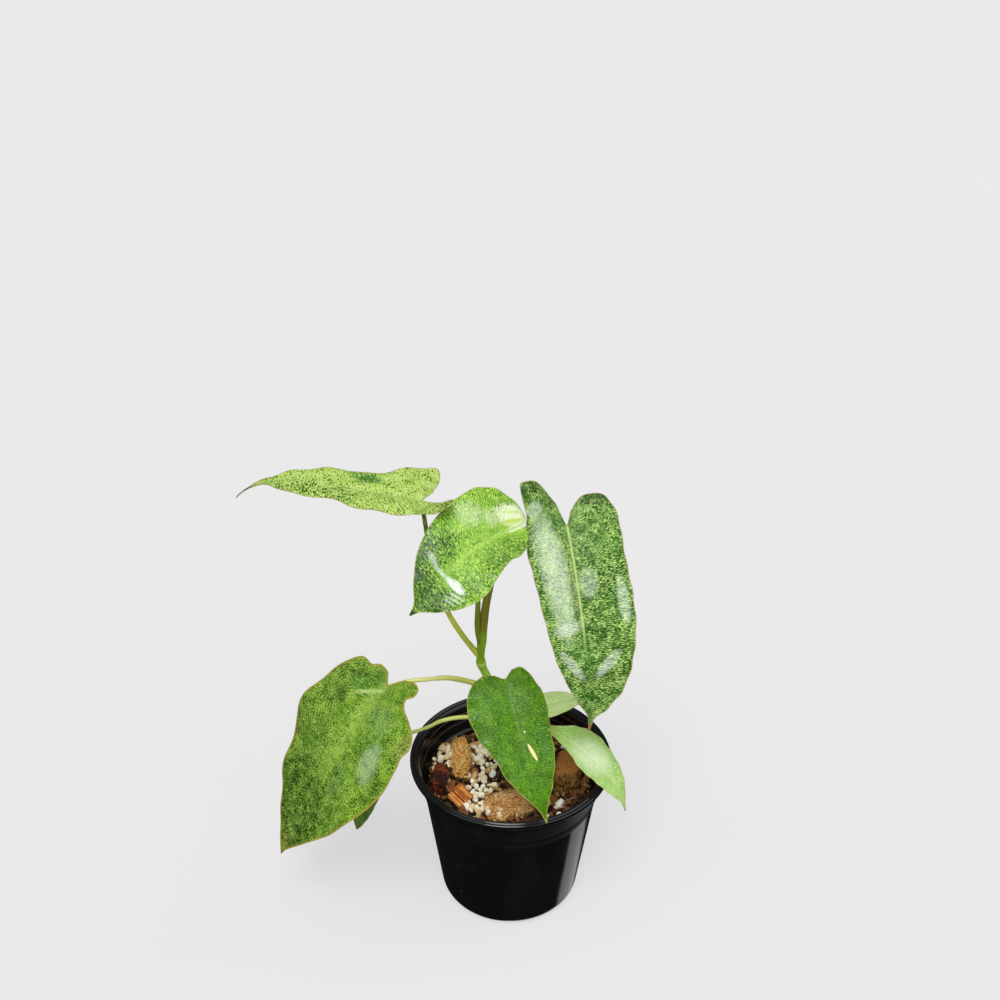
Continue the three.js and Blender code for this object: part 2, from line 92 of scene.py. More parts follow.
# Flecks: the noise's spread, how many spreads above its middle a tenth of it lies and how fast that falls with the
# share, and the seed of the pale flecks. In the vein attribute the rows lie spread, and each half and leaf is shifted.
NOISE_SPREAD, TENTH_ABOVE, LIMIT_FALL = 0.085, 1.28, 3.06
PALE_SEED = 31.0
VEIN_SPREAD, HALF_SHIFT, LEAF_SHIFT = 1.35, 400.0, 13.0

# Blades, in millimetres: how deep the midrib lies above and how far it stands out below; the margin's thinning.
RIB_ABOVE, RIB_BELOW = 0.35, 0.9
EDGE_THINNING = 0.55


def tint(code: int) -> Point:
    """Linear colour of a 0xRRGGBB screen colour."""
    shares = [((code >> shift) & 255) / 255 for shift in (16, 8, 0)]
    return tuple(s / 12.92 if s <= 0.04045 else ((s + 0.055) / 1.055) ** 2.4 for s in shares)


# Node graphs


def maths(operation: str, flipped: bool = False) -> Callable[..., "Wire"]:
    """A method of Wire that adds a Math node.

    Args:
        operation: the node's operation.
        flipped: whether the wire comes after the other operand.

    Returns:
        The method, for a wire and at most one other operand.
    """

    def method(self: "Wire", *others: "Wire | float") -> "Wire":
        """The node's result."""
        operands = (*others, self) if flipped else (self, *others)
        return self.graph.node("ShaderNodeMath", dict(enumerate(operands)), operation=operation)

    return method


class Wire:
    """An output of a node, which takes Python arithmetic: each operator adds a Math node."""

    def __init__(self, graph: "Graph", node: bpy.types.Node, key: str | int = 0) -> None:
        """Keeps the graph that Math nodes go into, the node and its output's name or place."""
        self.graph = graph
        self.node = node
        self.key = key

    __add__, __radd__ = maths("ADD"), maths("ADD", True)
    __sub__, __rsub__ = maths("SUBTRACT"), maths("SUBTRACT", True)
    __mul__, __rmul__ = maths("MULTIPLY"), maths("MULTIPLY", True)
    __truediv__, __rtruediv__ = maths("DIVIDE"), maths("DIVIDE", True)
    __pow__, __rpow__ = maths("POWER"), maths("POWER", True)
    size, rounded, fraction, exponent = maths("ABSOLUTE"), maths("ROUND"), maths("FRACT"), maths("EXPONENT")
    sine, cosine, arcsine, arctangent = maths("SINE"), maths("COSINE"), maths("ARCSINE"), maths("ARCTAN2")
    larger = maths("MAXIMUM")

    @property
    def socket(self) -> bpy.types.NodeSocket:
        """The output socket itself."""
        return Graph.pick(self.node.outputs, self.key)

    def output(self, key: str | int) -> "Wire":
        """Another output of the same node, by name or by place among those in use."""
        return Wire(self.graph, self.node, key)

    def rise(self, low: "Wire | float", high: "Wire | float") -> "Wire":
        """Smooth step: 0 up to low, 1 from high on. It falls instead where low is above high."""
        sockets = {"Value": self, "From Min": low, "From Max": high, "To Min": 0.0, "To Max": 1.0}
        return self.graph.node("ShaderNodeMapRange", sockets, interpolation_type="SMOOTHSTEP")

    def between(self, span: Pair, soft: float) -> "Wire":
        """1 between two numbers and 0 outside them, with soft ends."""
        return self.rise(span[0] - soft, span[0] + soft) * self.rise(span[1] + soft, span[1] - soft)


class Graph:
    """A node tree, with one method that adds any node."""

    def __init__(self, tree: bpy.types.NodeTree) -> None:
        """Keeps the tree, emptied."""
        self.tree = tree
        tree.nodes.clear()

    @staticmethod
    def pick(sockets: bpy.types.NodeInputs, key: str | int) -> bpy.types.NodeSocket:
        """The socket in use with that name or identifier, or at that place."""
        used = [s for s in sockets if s.enabled]
        if isinstance(key, int):
            return used[key]
        return next(s for s in used if key in (s.name, s.identifier))

    def node(
        self, kind: str, sockets: dict[str | int, object] | None = None, output: str | int = 0, **settings: object
    ) -> Wire:
        """Adds a node.

        Args:
            kind: the node's type.
            sockets: values or wires, by the input's name, identifier or place.
            output: the name or place of the output that comes back.
            **settings: the node's properties, set before its inputs.

        Returns:
            The output.
        """
        made = self.tree.nodes.new(kind)
        for name, value in settings.items():
            setattr(made, name, value)
        for key, value in (sockets or {}).items():
            socket = self.pick(made.inputs, key)
            if isinstance(value, Wire):
                self.tree.links.new(value.socket, socket)
            elif socket.type == "RGBA":
                socket.default_value = (*(tint(value) if isinstance(value, int) else value), 1.0)
            else:
                socket.default_value = value
        return Wire(self, made, output)

    def noise(
        self, place: Wire, scale: float, detail: float = 2.0, roughness: float = 0.5, distortion: float = 0.0
    ) -> Wire:
        """A noise pattern around 0.5 at a place."""
        sockets = {"Vector": place, "Scale": scale, "Detail": detail, "Roughness": roughness, "Distortion": distortion}
        return self.node("ShaderNodeTexNoise", sockets, output="Fac")

    def parts(self, vector: Wire) -> tuple[Wire, Wire, Wire]:
        """A vector's three numbers."""
        made = self.node("ShaderNodeSeparateXYZ", {"Vector": vector})
        return made.output(0), made.output(1), made.output(2)

    def vector(self, operation: str, *operands: "Wire | Point") -> Wire:
        """A Vector Math node's vector."""
        return self.node("ShaderNodeVectorMath", dict(enumerate(operands)), output="Vector", operation=operation)

    def scaled(self, vector: "Wire | Point", factor: "Wire | float") -> Wire:
        """A vector times a number."""
        sockets = {"Vector": vector, "Scale": factor}
        return self.node("ShaderNodeVectorMath", sockets, output="Vector", operation="SCALE")

    def stretch(self, place: Wire, factors: Point) -> Wire:
        """A place scaled by its own factor along each axis."""
        return self.vector("MULTIPLY", place, factors)


class Paint(Graph):
    """The node tree of a material."""

    def __init__(self, name: str) -> None:
        """Starts an empty material of that name."""
        self.material = bpy.data.materials.new(name)
        self.material.use_nodes = True
        super().__init__(self.material.node_tree)

    def attribute(self, name: str) -> Wire:
        """A vector attribute of the mesh."""
        return self.node("ShaderNodeAttribute", output="Vector", attribute_name=name)

    def number(self, name: str) -> Wire:
        """A number attribute of the mesh."""
        return self.node("ShaderNodeAttribute", output="Fac", attribute_name=name)

    def place(self) -> Wire:
        """Object coordinates in millimetres."""
        found = self.node("ShaderNodeTexCoord", output="Object")
        return self.stretch(found, (1 / MM,) * 3)

    def cells(self, place: Wire, scale: float, output: str = "Distance") -> Wire:
        """A cell pattern: the distance to the nearest cell's middle, or its colour."""
        return self.node("ShaderNodeTexVoronoi", {"Vector": place, "Scale": scale}, output=output)

    def blend(self, first: "Wire | Colour", second: "Wire | Colour", share: "Wire | float", mode: str = "MIX") -> Wire:
        """Two colours mixed, the second by its share."""
        return self.node(
            "ShaderNodeMix", {"Factor": share, "A": first, "B": second}, output="Result", data_type="RGBA",
            blend_type=mode
        )

    def coats(self, colour: "Wire | Colour", *layers: tuple["Wire | Colour", "Wire | float"]) -> Wire:
        """A colour under further ones, each laid over the last by its share."""
        for layer, share in layers:
            colour = self.blend(colour, layer, share)
        return colour

    def bump(self, height: Wire, depth_mm: float, strength: float = 1.0) -> Wire:
        """The normal of a relief whose height runs from 0 to 1 over a depth."""
        return self.node(
            "ShaderNodeBump", {"Strength": strength, "Distance": depth_mm * MM, "Height": height}, output="Normal"
        )

    def finish(
        self, colour: "Wire | Colour", roughness: "Wire | float", normal: Wire | None = None, **constants: float
    ) -> bpy.types.Material:
        """Closes the material with its surface shader.

        Args:
            colour: what the surface is painted with.
            roughness: how dull it is.
            normal: its relief.
            **constants: other numbers of the shader, with underscores for spaces.

        Returns:
            The material.
        """
        sockets = {"Base Color": colour, "Roughness": roughness}
        if normal is not None:
            sockets["Normal"] = normal
        sockets.update({name.replace("_", " "): value for name, value in constants.items()})
        shader = self.node("ShaderNodeBsdfPrincipled", sockets)
        self.node("ShaderNodeOutputMaterial", {"Surface": shader.output("BSDF")})
        return self.material


class ShapeTree(Graph):
    """A geometry node tree with named inputs, which is run once on a piece."""

    def __init__(self, name: str, inputs: dict[str, tuple[str, ...]]) -> None:
        """Starts a tree.

        Args:
            name: the tree's name.
            inputs: the named inputs of each type, besides the piece's own shape and its material.
        """
        tree = bpy.data.node_groups.new(name, "GeometryNodeTree")
        super().__init__(tree)
        for kind, labels in {"Geometry": ("Shape",), **inputs, "Material": ("Material",)}.items():
            for label in labels:
                tree.interface.new_socket(label, in_out="INPUT", socket_type="NodeSocket" + kind)
        tree.interface.new_socket("Shape", in_out="OUTPUT", socket_type="NodeSocketGeometry")
        self.entry = self.node("NodeGroupInput")

    def input(self, label: str) -> Wire:
        """One of the named inputs."""
        return self.entry.output(label)

    def draw(self, low: "Wire | float", high: "Wire | float", seed: Wire, kind: str = "FLOAT") -> Wire:
        """A random value between two, another one for each point or instance."""
        return self.node("FunctionNodeRandomValue", {"Min": low, "Max": high, "Seed": seed}, data_type=kind)

    def noted(self, shape: Wire, name: str, value: Wire, domain: str = "POINT") -> Wire:
        """A shape with a number stored in it under a name."""
        sockets = {"Geometry": shape, "Name": name, "Value": value}
        return self.node("GeometryNodeStoreNamedAttribute", sockets, data_type="FLOAT", domain=domain)

    def close(self, shape: Wire) -> "ShapeTree":
        """Makes instances real, sets the material and ends the tree."""
        real = self.node("GeometryNodeRealizeInstances", {"Geometry": shape})
        dressed = self.node("GeometryNodeSetMaterial", {"Geometry": real, "Material": self.input("Material")})
        self.node("NodeGroupOutput", {"Shape": dressed})
        return self

    def run(self, piece: bpy.types.Object, values: dict[str, object]) -> bpy.types.Object:
        """Turns a piece into what the tree makes of it, as a plain mesh.

        Args:
            piece: the object whose mesh goes in.
            values: each named input's value.

        Returns:
            The same object, with its new mesh and no modifier.
        """
        modifier = piece.modifiers.new("shape", "NODES")
        modifier.node_group = self.tree
        for item in self.tree.interface.items_tree:
            if item.in_out == "INPUT" and item.name in values:
                modifier[item.identifier] = values[item.name]
        graph = bpy.context.evaluated_depsgraph_get()
        graph.update()
        mesh = bpy.data.meshes.new_from_object(
            piece.evaluated_get(graph), preserve_all_data_layers=True, depsgraph=graph
        )
        piece.modifiers.remove(modifier)
        old, piece.data = piece.data, mesh
        bpy.data.meshes.remove(old)
        mesh.name = piece.name
        return piece


# Shapes that several pieces share


def smooth_path(points: list[Point], count: int) -> Grid:
    """Evenly spaced points on a smooth curve through all the given ones.

    Args:
        points: what the curve passes through.
        count: how many points come back.

    Returns:
        A (count, 3) array.
    """
    knots = np.array(points, float)
    first = 2 * knots[0] - knots[1]
    last = 2 * knots[-1] - knots[-2]
    knots = np.vstack([first, knots, last])
    share = np.linspace(0, 1, CURVE_SAMPLES, endpoint=False)[:, None]
    pieces = []
    for p0, p1, p2, p3 in zip(knots, knots[1:], knots[2:], knots[3:]):
        d0, d1, d2 = (max(np.linalg.norm(b - a), 1e-6) ** 0.5 for a, b in ((p0, p1), (p1, p2), (p2, p3)))
        start = ((p1 - p0) / d0 - (p2 - p0) / (d0 + d1) + (p2 - p1) / d1) * d1
        end = ((p2 - p1) / d1 - (p3 - p1) / (d1 + d2) + (p3 - p2) / d2) * d1
        curve = p1 + start * share + (3 * (p2 - p1) - 2 * start - end) * share**2
        pieces.append(curve + (2 * (p1 - p2) + start + end) * share**3)
    fine = np.vstack([*pieces, knots[-2:-1]])
    reach = np.concatenate([[0], np.cumsum(np.linalg.norm(np.diff(fine, axis=0), axis=1))])
    wanted = np.linspace(0, reach[-1], count)
    return np.stack([np.interp(wanted, reach, fine[:, k]) for k in range(3)], axis=1)


def add_piece(name: str, points: Grid, faces: list, edges: list = ()) -> bpy.types.Object:
    """A new object in the scene.

    Args:
        name: its name.
        points: its vertices in millimetres.
        faces: its faces, as vertex numbers.
        edges: loose edges, for a path.

    Returns:
        The object, smooth shaded, at the origin.
    """
    mesh = bpy.data.meshes.new(name)
    mesh.from_pydata((np.asarray(points) * MM).tolist(), list(edges), faces)
    mesh.polygons.foreach_set("use_smooth", [True] * len(mesh.polygons))
    mesh.update()
    piece = bpy.data.objects.new(name, mesh)
    bpy.context.scene.collection.objects.link(piece)
    return piece


def store(piece: bpy.types.Object, name: str, values: Grid) -> None:
    """Stores a number or a vector for every vertex of a piece."""
    kind, key = ("FLOAT", "value") if values.ndim == 1 else ("FLOAT_VECTOR", "vector")
    held = piece.data.attributes.new(name, kind, "POINT")
    held.data.foreach_set(key, np.asarray(values, np.float32).ravel())


def settle(piece: bpy.types.Object, slot: str, *nodes: str) -> None:
    """Lets a piece ride on the plant's one body and stand for solids."""
    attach(piece, BODY)
    if nodes:
        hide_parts(*nodes)
    log.info("%s: %d faces", piece.name, len(piece.data.polygons))


def turned(x: Wire | Grid, y: Wire | Grid, at: Pair, turn: float) -> tuple[Wire | Grid, Wire | Grid]:
    """Places of the flat leaf as seen from one of them, turned.

    Args:
        x: millimetres to the right of the midrib.
        y: millimetres along it.
        at: the place they are seen from.
        turn: degrees.

    Returns:
        How far each place is ahead and beside.
    """
    cosine, sine = math.cos(math.radians(turn)), math.sin(math.radians(turn))
    return (x - at[0]) * cosine + (y - at[1]) * sine, (y - at[1]) * cosine - (x - at[0]) * sine


def unit(vector: Grid) -> Grid:
    """A vector, or each row of an array of them, at length 1."""
    return vector / np.linalg.norm(vector, axis=-1, keepdims=True)


def rough(points: Grid, scale: float, octaves: int, seed: float) -> Grid:
    """Fractal noise at each point, around 0."""
    shift = Vector([step * seed for step in SEED_STEP])
    return np.array([noise.fractal(Vector(p) * scale + shift, 1.0, 2.0, octaves) for p in points])


# Finishes


@dataclass(frozen=True)
class PotPlastic:
    """Glossy black moulded plastic with faint wear and dust."""

    base: Colour = (0.004, 0.0042, 0.005)
    dust: Colour = (0.42, 0.42, 0.42)
    gloss: float = 0.08
    satin: Pair = (79.0, 98.0)
    satin_dullness: float = 0.3
    film_show: float = 0.012
    speck_show: float = 0.7
    wear: float = 0.06

    def material(self) -> bpy.types.Material:
        """The material."""
        paint = Paint("pot_plastic")
        place = paint.place()
        haze = paint.noise(paint.stretch(place, (1, 1, 0.35)), 0.05, 4, 0.6)
        scratches = paint.noise(paint.stretch(place, (1, 1, 0.06)), 0.9, 2, 0.6)
        film = haze.rise(0.45, 0.8) * self.film_show
        colour = paint.blend(self.base, self.dust, film)
        grit = paint.cells(place, 0.16)
        chosen = paint.noise(place, 0.043, 1)
        specks = grit.rise(0.055, 0.035) * chosen.rise(0.62, 0.66)
        colour = paint.blend(colour, self.dust, specks * self.speck_show)
        roughness = haze.rise(0.35, 0.75) * self.wear + scratches.rise(0.55, 0.8) * self.wear + self.gloss
        wave = paint.noise(paint.stretch(place, (1, 1, 0.5)), 0.03, 2)
        relief = paint.bump(wave + scratches * 0.004, 0.5, 0.6)
        height = paint.parts(place)[2]
        collar = height.rise(self.satin[0], self.satin[0] + 1) * height.rise(self.satin[1], self.satin[1] - 2)
        return paint.finish(colour, roughness + specks * 0.5 + collar * self.satin_dullness, relief)


@dataclass(frozen=True)
class Mark:
    """A stain, a painted glare, sheen or shade, or a thicker growth of flecks, which has no colour; in the flat leaf's
    millimetres.
    """

    at: Pair
    reach: Pair
    turn: float
    colour: Colour | None
    strength: float = 1.0
    soft: float = 0.5
    broken: float = 0.4


@dataclass(frozen=True)
class Creases:
    """Fine curved creases around a place on one half of a blade, in the flat leaf's millimetres."""

    at: Pair
    inner: float
    outer: float
    spacing: float
    side: float
    strength: float
    fade: Pair = (5, 12)
    wander: Pair = (12.0, 0.6)

    def waves(self, x: Wire, y: Wire, broad: Wire, fine: Wire) -> tuple[Wire, Wire]:
        """Their height from -1 to 1, and where they show."""
        ahead, beside = x - self.at[0], y - self.at[1]
        far = (ahead * ahead + beside * beside) ** 0.5 + broad * self.wander[0] + fine * self.wander[1]
        shown = far.rise(self.inner, self.inner + self.fade[0]) * far.rise(self.outer, self.outer - self.fade[1])
        shown = shown * (x * self.side).rise(2, 9) * self.strength
        return (far * (FULL_TURN / self.spacing)).sine(), shown


@dataclass(frozen=True)
class LeafFinish:
    """A waxy mottled blade: flecks run along its lateral veins; some marks and its creases carry painted light and
    shade.
    """

    name: str
    ground: Colour
    deep: Colour
    fleck: Colour
    cover: Pair
    pale: Colour
    pale_cover: Pair
    midrib: Colour
    margin: Colour
    tip: Colour
    under: Colour
    gloss: float = 0.30
    fleck_size: Pair = (2.6, 0.62)
    fleck_show: float = 0.85
    pale_show: float = 0.75
    grain_show: float = 0.35
    patchy: float = 0.18
    shine: float = 0.36
    relief: float = 0.22
    midrib_width: float = 1.5
    midrib_show: float = 0.8
    midrib_fade: Pair = (1.0, 0.7)
    vein_show: float = 0.15
    margin_width: float = 0.7
    tip_share: float = 0.965
    # Marks drawn under the flecks: real stains, and also painted light and shade: glare, sheen, shade in a hollow and
    # along a fold, a highlight on a ridge.
    stains_and_painted_light: tuple[Mark, ...] = ()
    growths: tuple[Mark, ...] = ()
    # Marks screened over everything: painted glares and sheens, and pale cream marks.
    painted_sheens_and_pale_marks: tuple[Mark, ...] = ()
    creases: tuple[Creases, ...] = ()

    @staticmethod
    def limit(cover: float) -> float:
        """The noise level above which a share of a surface lies."""
        return 0.5 + NOISE_SPREAD * (TENTH_ABOVE - LIMIT_FALL * (cover - 0.1)) / TENTH_ABOVE

    def flecks(self, paint: Paint, vein: Wire, share: Wire, drift: Wire, cover: Pair, seed: float) -> Wire:
        """A mask of flecks whose cover changes from midrib to margin.

        Args:
            paint: the material's graph.
            vein: places along and across the lateral veins.
            share: the way from midrib to margin.
            drift: how much the cover falls short at each place.
            cover: shares of the surface at the midrib and at the margin.
            seed: tells one pattern of flecks from another.

        Returns:
            The mask.
        """
        long, wide = self.fleck_size
        place = paint.vector("ADD", paint.stretch(vein, (1 / long, 1 / wide, 1)), (seed, seed, seed))
        spots = paint.noise(place, 1.0, 3, 0.6, 0.15)
        low, high = (self.limit(c) for c in cover)
        edge = low + share * (high - low) + drift
        return (spots - edge).rise(-0.02, 0.03)

    def material(self) -> bpy.types.Material:
        """The material."""
        paint = Paint("leaf_" + self.name)
        vein = paint.attribute("vein_place")
        flat = paint.attribute("leaf_place")
        rim, underside, share = paint.parts(paint.attribute("leaf_rim"))
        lines = paint.number("vein_line")
        x, y, t = paint.parts(flat)
        broad = paint.noise(flat, 0.05, 3)
        fine = paint.noise(paint.stretch(vein, (0.10, 1.3, 1)), 1.0, 3, 0.6)
        grain = paint.noise(paint.stretch(vein, (0.75, 2.0, 1)), 1.0, 2, 0.7)
        drift = (0.5 - paint.noise(flat, 0.16, 2)) * self.patchy
        colour = paint.blend(self.deep, self.ground, (broad + (fine - 0.5) * 0.4).rise(0.35, 0.6))
        relief = fine * 0.6 + grain * 0.35
        # Each crease gets painted shade in its groove and painted light on its crest, besides its bump.
        for crease in self.creases:
            wave, shown = crease.waves(x, y, broad, fine)
            colour = paint.coats(
                colour, (self.fleck, wave.rise(0.2, 0.9) * shown * 0.5),
                (self.pale, wave.rise(-0.2, -0.9) * shown * 0.4)
            )
            relief = relief - wave * shown * 0.5
        # Stains under the flecks, among them painted glare, sheen and shade.
        for mark in self.stains_and_painted_light:
            colour = paint.blend(colour, mark.colour, self.spot(x, y, grain, mark))
        thin = drift
        for mark in self.growths:
            thin = thin - self.spot(x, y, broad, mark) * 0.1
        light = self.flecks(paint, vein, share, drift * -1.0, self.pale_cover, PALE_SEED)
        colour = paint.blend(colour, self.pale, light * self.pale_show)
        dark = self.flecks(paint, vein, share, thin, self.cover, 0.0)
        colour = paint.coats(
            colour, (self.fleck, dark * self.fleck_show), (self.fleck, grain.rise(0.5, 0.3) * self.grain_show),
            (self.pale, grain.rise(0.55, 0.75) * self.grain_show), (self.midrib, lines * self.vein_show)
        )
        band = (x.size() + (fine - 0.5) * 0.8).rise(self.midrib_width, 0.2) * t.rise(*self.midrib_fade)
        colour = paint.blend(colour, self.midrib, band * self.midrib_show)
        edge = rim + (paint.noise(flat, 0.3, 2) - 0.5) * 0.8
        colour = paint.coats(
            colour, (self.margin, edge.rise(self.margin_width, 0.15) * 0.85),
            (self.tip, t.rise(self.tip_share, (1.0 + self.tip_share) / 2))
        )
        # Painted glares and sheens, and pale cream marks, screened over everything.
        for mark in self.painted_sheens_and_pale_marks:
            colour = paint.blend(colour, mark.colour, self.spot(x, y, fine, mark), "SCREEN")
        below = paint.coats(
            self.under, (self.midrib, x.size().rise(1.4, 0.3) * 0.6),
            (self.deep, light * 0.1 + lines * 0.15 + grain.rise(0.5, 0.7) * 0.2)
        )
        colour = paint.blend(colour, below, underside)
        relief = relief + dark * 0.15
        roughness = broad * 0.10 + fine * 0.10 + underside * 0.25 + (self.gloss - 0.10)
        normal = paint.bump(relief, self.relief, 0.7)
        return paint.finish(colour, roughness, normal, Specular_IOR_Level=self.shine)

    @staticmethod
    def spot(x: Wire, y: Wire, texture: Wire, mark: Mark) -> Wire:
        """The mask of one mark, broken up by a texture."""
        ahead, beside = turned(x, y, mark.at, mark.turn)
        a, b = ahead / mark.reach[0], beside / mark.reach[1]
        spot = (a * a + b * b).rise(1.0 + mark.soft, 1.0 - mark.soft) * mark.strength
        return spot * (1 - (1 - texture.rise(0.35, 0.6)) * mark.broken)


@dataclass(frozen=True)
class StalkFinish:
    """A smooth stalk whose colour changes from foot to top, with a paler stripe down one side: its ridge, and a
    painted highlight.
    """

    name: str
    foot: Colour
    top: Colour
    blush: Colour
    ridge: Colour
    ridge_highlight_at: float = 0.25
    ridge_highlight_show: float = 0.5
    gloss: float = 0.38
    rings: tuple[float, ...] = ()
    change: Pair = (0.15, 0.85)
    change_mottle: float = 0.5

    def material(self) -> bpy.types.Material:
        """The material."""
        paint = Paint(self.name)
        place = paint.place()
        along = paint.number("along")
        around = paint.number("around")
        mottle = paint.noise(place, 0.12, 3)
        colour = paint.blend(self.foot, self.top, (along + (mottle - 0.5) * self.change_mottle).rise(*self.change))
        streaks = paint.noise(paint.stretch(place, (1, 1, 0.15)), 1.2, 2)
        colour = paint.blend(colour, self.blush, streaks.rise(0.5, 0.75) * 0.45)
        # The paler stripe down one side stands for the ridge and is partly a painted highlight.
        side = (around - self.ridge_highlight_at + 0.5).fraction() - 0.5
        colour = paint.blend(colour, self.ridge, side.size().rise(0.16, 0.04) * self.ridge_highlight_show)
        dots = paint.cells(place, 0.9)
        colour = paint.blend(colour, self.blush, dots.rise(0.18, 0.08) * 0.35)
        for ring in self.rings:
            scar = (along - ring).size().rise(0.012, 0.003)
            colour = paint.blend(colour, self.ridge, scar * 0.7)
        relief = paint.bump(streaks + dots * 0.2, 0.15, 0.5)
        return paint.finish(colour, mottle * 0.15 + (self.gloss - 0.07), relief)


@dataclass(frozen=True)
class ChunkFinish:
    """Bark or husk: pits, crumbs and fibres that run along a grain."""

    name: str
    body: Colour
    bright: Colour
    dark: Colour
    grain: Point
    stretch: float
    scale: float
    line_show: float
    crumb_show: float = 1.0
    cap: Colour | None = None
    cap_from: float = 0.0

    def material(self) -> bpy.types.Material:
        """The material."""
        paint = Paint(self.name)
        place = paint.place()
        axis = tuple(unit(np.array(self.grain)))
        dot = paint.node("ShaderNodeVectorMath", {0: place, 1: axis}, output="Value", operation="DOT_PRODUCT")
        fibre_place = paint.vector("SUBTRACT", place, paint.scaled(axis, dot * self.stretch))
        lines = paint.noise(fibre_place, self.scale, 4, 0.65)
        crumbs = paint.noise(place, 0.9, 3, 0.6)
        pits = paint.cells(place, 0.55)
        broad = paint.noise(place, 0.12, 2)
        tone = (crumbs * 0.6 * self.crumb_show + broad * (1 - 0.6 * self.crumb_show)).rise(0.4, 0.6)
        colour = paint.coats(
            self.body, (self.bright, tone), (self.dark, lines.rise(0.5, 0.6) * self.line_show),
            (self.dark, crumbs.rise(0.47, 0.36) * 0.8 * self.crumb_show),
            (self.dark, pits.rise(0.26, 0.08) * 0.7 * self.crumb_show), (self.bright, lines.rise(0.42, 0.3) * 0.5)
        )
        if self.cap is not None:
            height = paint.parts(place)[2]
            skin = (height + (broad - 0.5) * 3).rise(self.cap_from - 0.6, self.cap_from + 0.6)
            smooth = paint.blend(self.cap, self.bright, crumbs.rise(0.5, 0.8) * 0.4)
            colour = paint.blend(colour, smooth, skin)
        relief = lines * 0.8 + (crumbs * 0.7 + pits * 0.4) * self.crumb_show
        return paint.finish(colour, crumbs * 0.15 + 0.72, paint.bump(relief, 1.5, 0.9), Specular_IOR_Level=0.3)


@dataclass(frozen=True)
class GrainFinish:
    """Loose grains: each has its own tone, from a first colour over a middle one to a last."""

    name: str
    first: Colour
    middle: Colour
    last: Colour
    pits: Colour
    pit_show: float
    dullness: float = 0.85

    def material(self) -> bpy.types.Material:
        """The material."""
        paint = Paint(self.name)
        place = paint.place()
        tone = paint.number("tone")
        colour = paint.coats(self.first, (self.middle, tone.rise(0.0, 0.55)), (self.last, tone.rise(0.6, 1.0)))
        crumbs = paint.noise(place, 1.1, 3, 0.65)
        pores = paint.cells(place, 1.3)
        colour = paint.coats(
            colour, (self.pits, crumbs.rise(0.5, 0.72) * self.pit_show),
            (self.pits, pores.rise(0.2, 0.05) * self.pit_show)
        )
        relief = paint.bump(crumbs + pores * 0.4, 0.5, 0.7)
        return paint.finish(colour, crumbs * 0.1 + (self.dullness - 0.05), relief, Specular_IOR_Level=0.3)


@dataclass(frozen=True)
class FloorFinish:
    """A pale matt studio floor."""

    base: Colour = (0.19, 0.19, 0.19)
    pale: Colour = (0.21, 0.21, 0.21)
    glow: float = 0.585

    def material(self) -> bpy.types.Material:
        """The material."""
        paint = Paint("studio_floor")
        cloud = paint.noise(paint.place(), 0.002, 2)
        colour = paint.blend(self.base, self.pale, cloud)
        return paint.finish(colour, 0.9, Specular_IOR_Level=0.1, Emission_Strength=self.glow)


# Trees that turn a plain start shape into a piece


def lathe_tree() -> ShapeTree:
    """Turns a profile in the XZ plane round the Z axis and drills a ring of holes through it."""
    tree = ShapeTree("lathe", {"Int": ("Sides", "Holes"), "Float": ("Hole radius", "Hole circle", "Drill length")})
    profile = tree.input("Shape")
    count = tree.node("GeometryNodeAttributeDomainSize", {"Geometry": profile}, output="Point Count")
    sheet = tree.node(
        "GeometryNodeMeshGrid",
        {"Size X": 1.0, "Size Y": 1.0, "Vertices X": count, "Vertices Y": tree.input("Sides") + 1}, output="Mesh"
    )
    across, around, _ = tree.parts(tree.node("GeometryNodeInputPosition"))
    step = ((across + 0.5) * (count - 1)).rounded()
    held = tree.node(
        "GeometryNodeSampleIndex",
        {"Geometry": profile, "Value": tree.node("GeometryNodeInputPosition"), "Index": step}, data_type="FLOAT_VECTOR"
    )
    radius, _, height = tree.parts(held)
    angle = (around + 0.5) * FULL_TURN
    spun = tree.node("ShaderNodeCombineXYZ", {0: radius * angle.cosine(), 1: radius * angle.sine(), 2: height})
    shell = tree.node("GeometryNodeSetPosition", {"Geometry": sheet, "Position": spun})
    shell = tree.node("GeometryNodeMergeByDistance", {"Geometry": shell, "Distance": WELD})
    half_step = math.pi / tree.input("Holes")
    ring = tree.node("GeometryNodeMeshCircle", {"Vertices": tree.input("Holes"), "Radius": tree.input("Hole circle")})
    turn = tree.node("ShaderNodeCombineXYZ", {2: half_step})
    ring = tree.node("GeometryNodeTransform", {"Geometry": ring, "Rotation": turn})
    drill = tree.node(
        "GeometryNodeMeshCylinder",
        {"Vertices": DRILL_SIDES, "Radius": tree.input("Hole radius"), "Depth": tree.input("Drill length")},
        output="Mesh"
    )
    drills = tree.node("GeometryNodeInstanceOnPoints", {"Points": ring, "Instance": drill})
    drills = tree.node("GeometryNodeRealizeInstances", {"Geometry": drills})
    drilled = tree.node(
        "GeometryNodeMeshBoolean", {"Mesh 1": shell, "Mesh 2": drills}, output="Mesh", operation="DIFFERENCE",
        solver="EXACT"
    )
    smooth = tree.node("GeometryNodeSetShadeSmooth", {"Geometry": drilled})
    return tree.close(smooth)


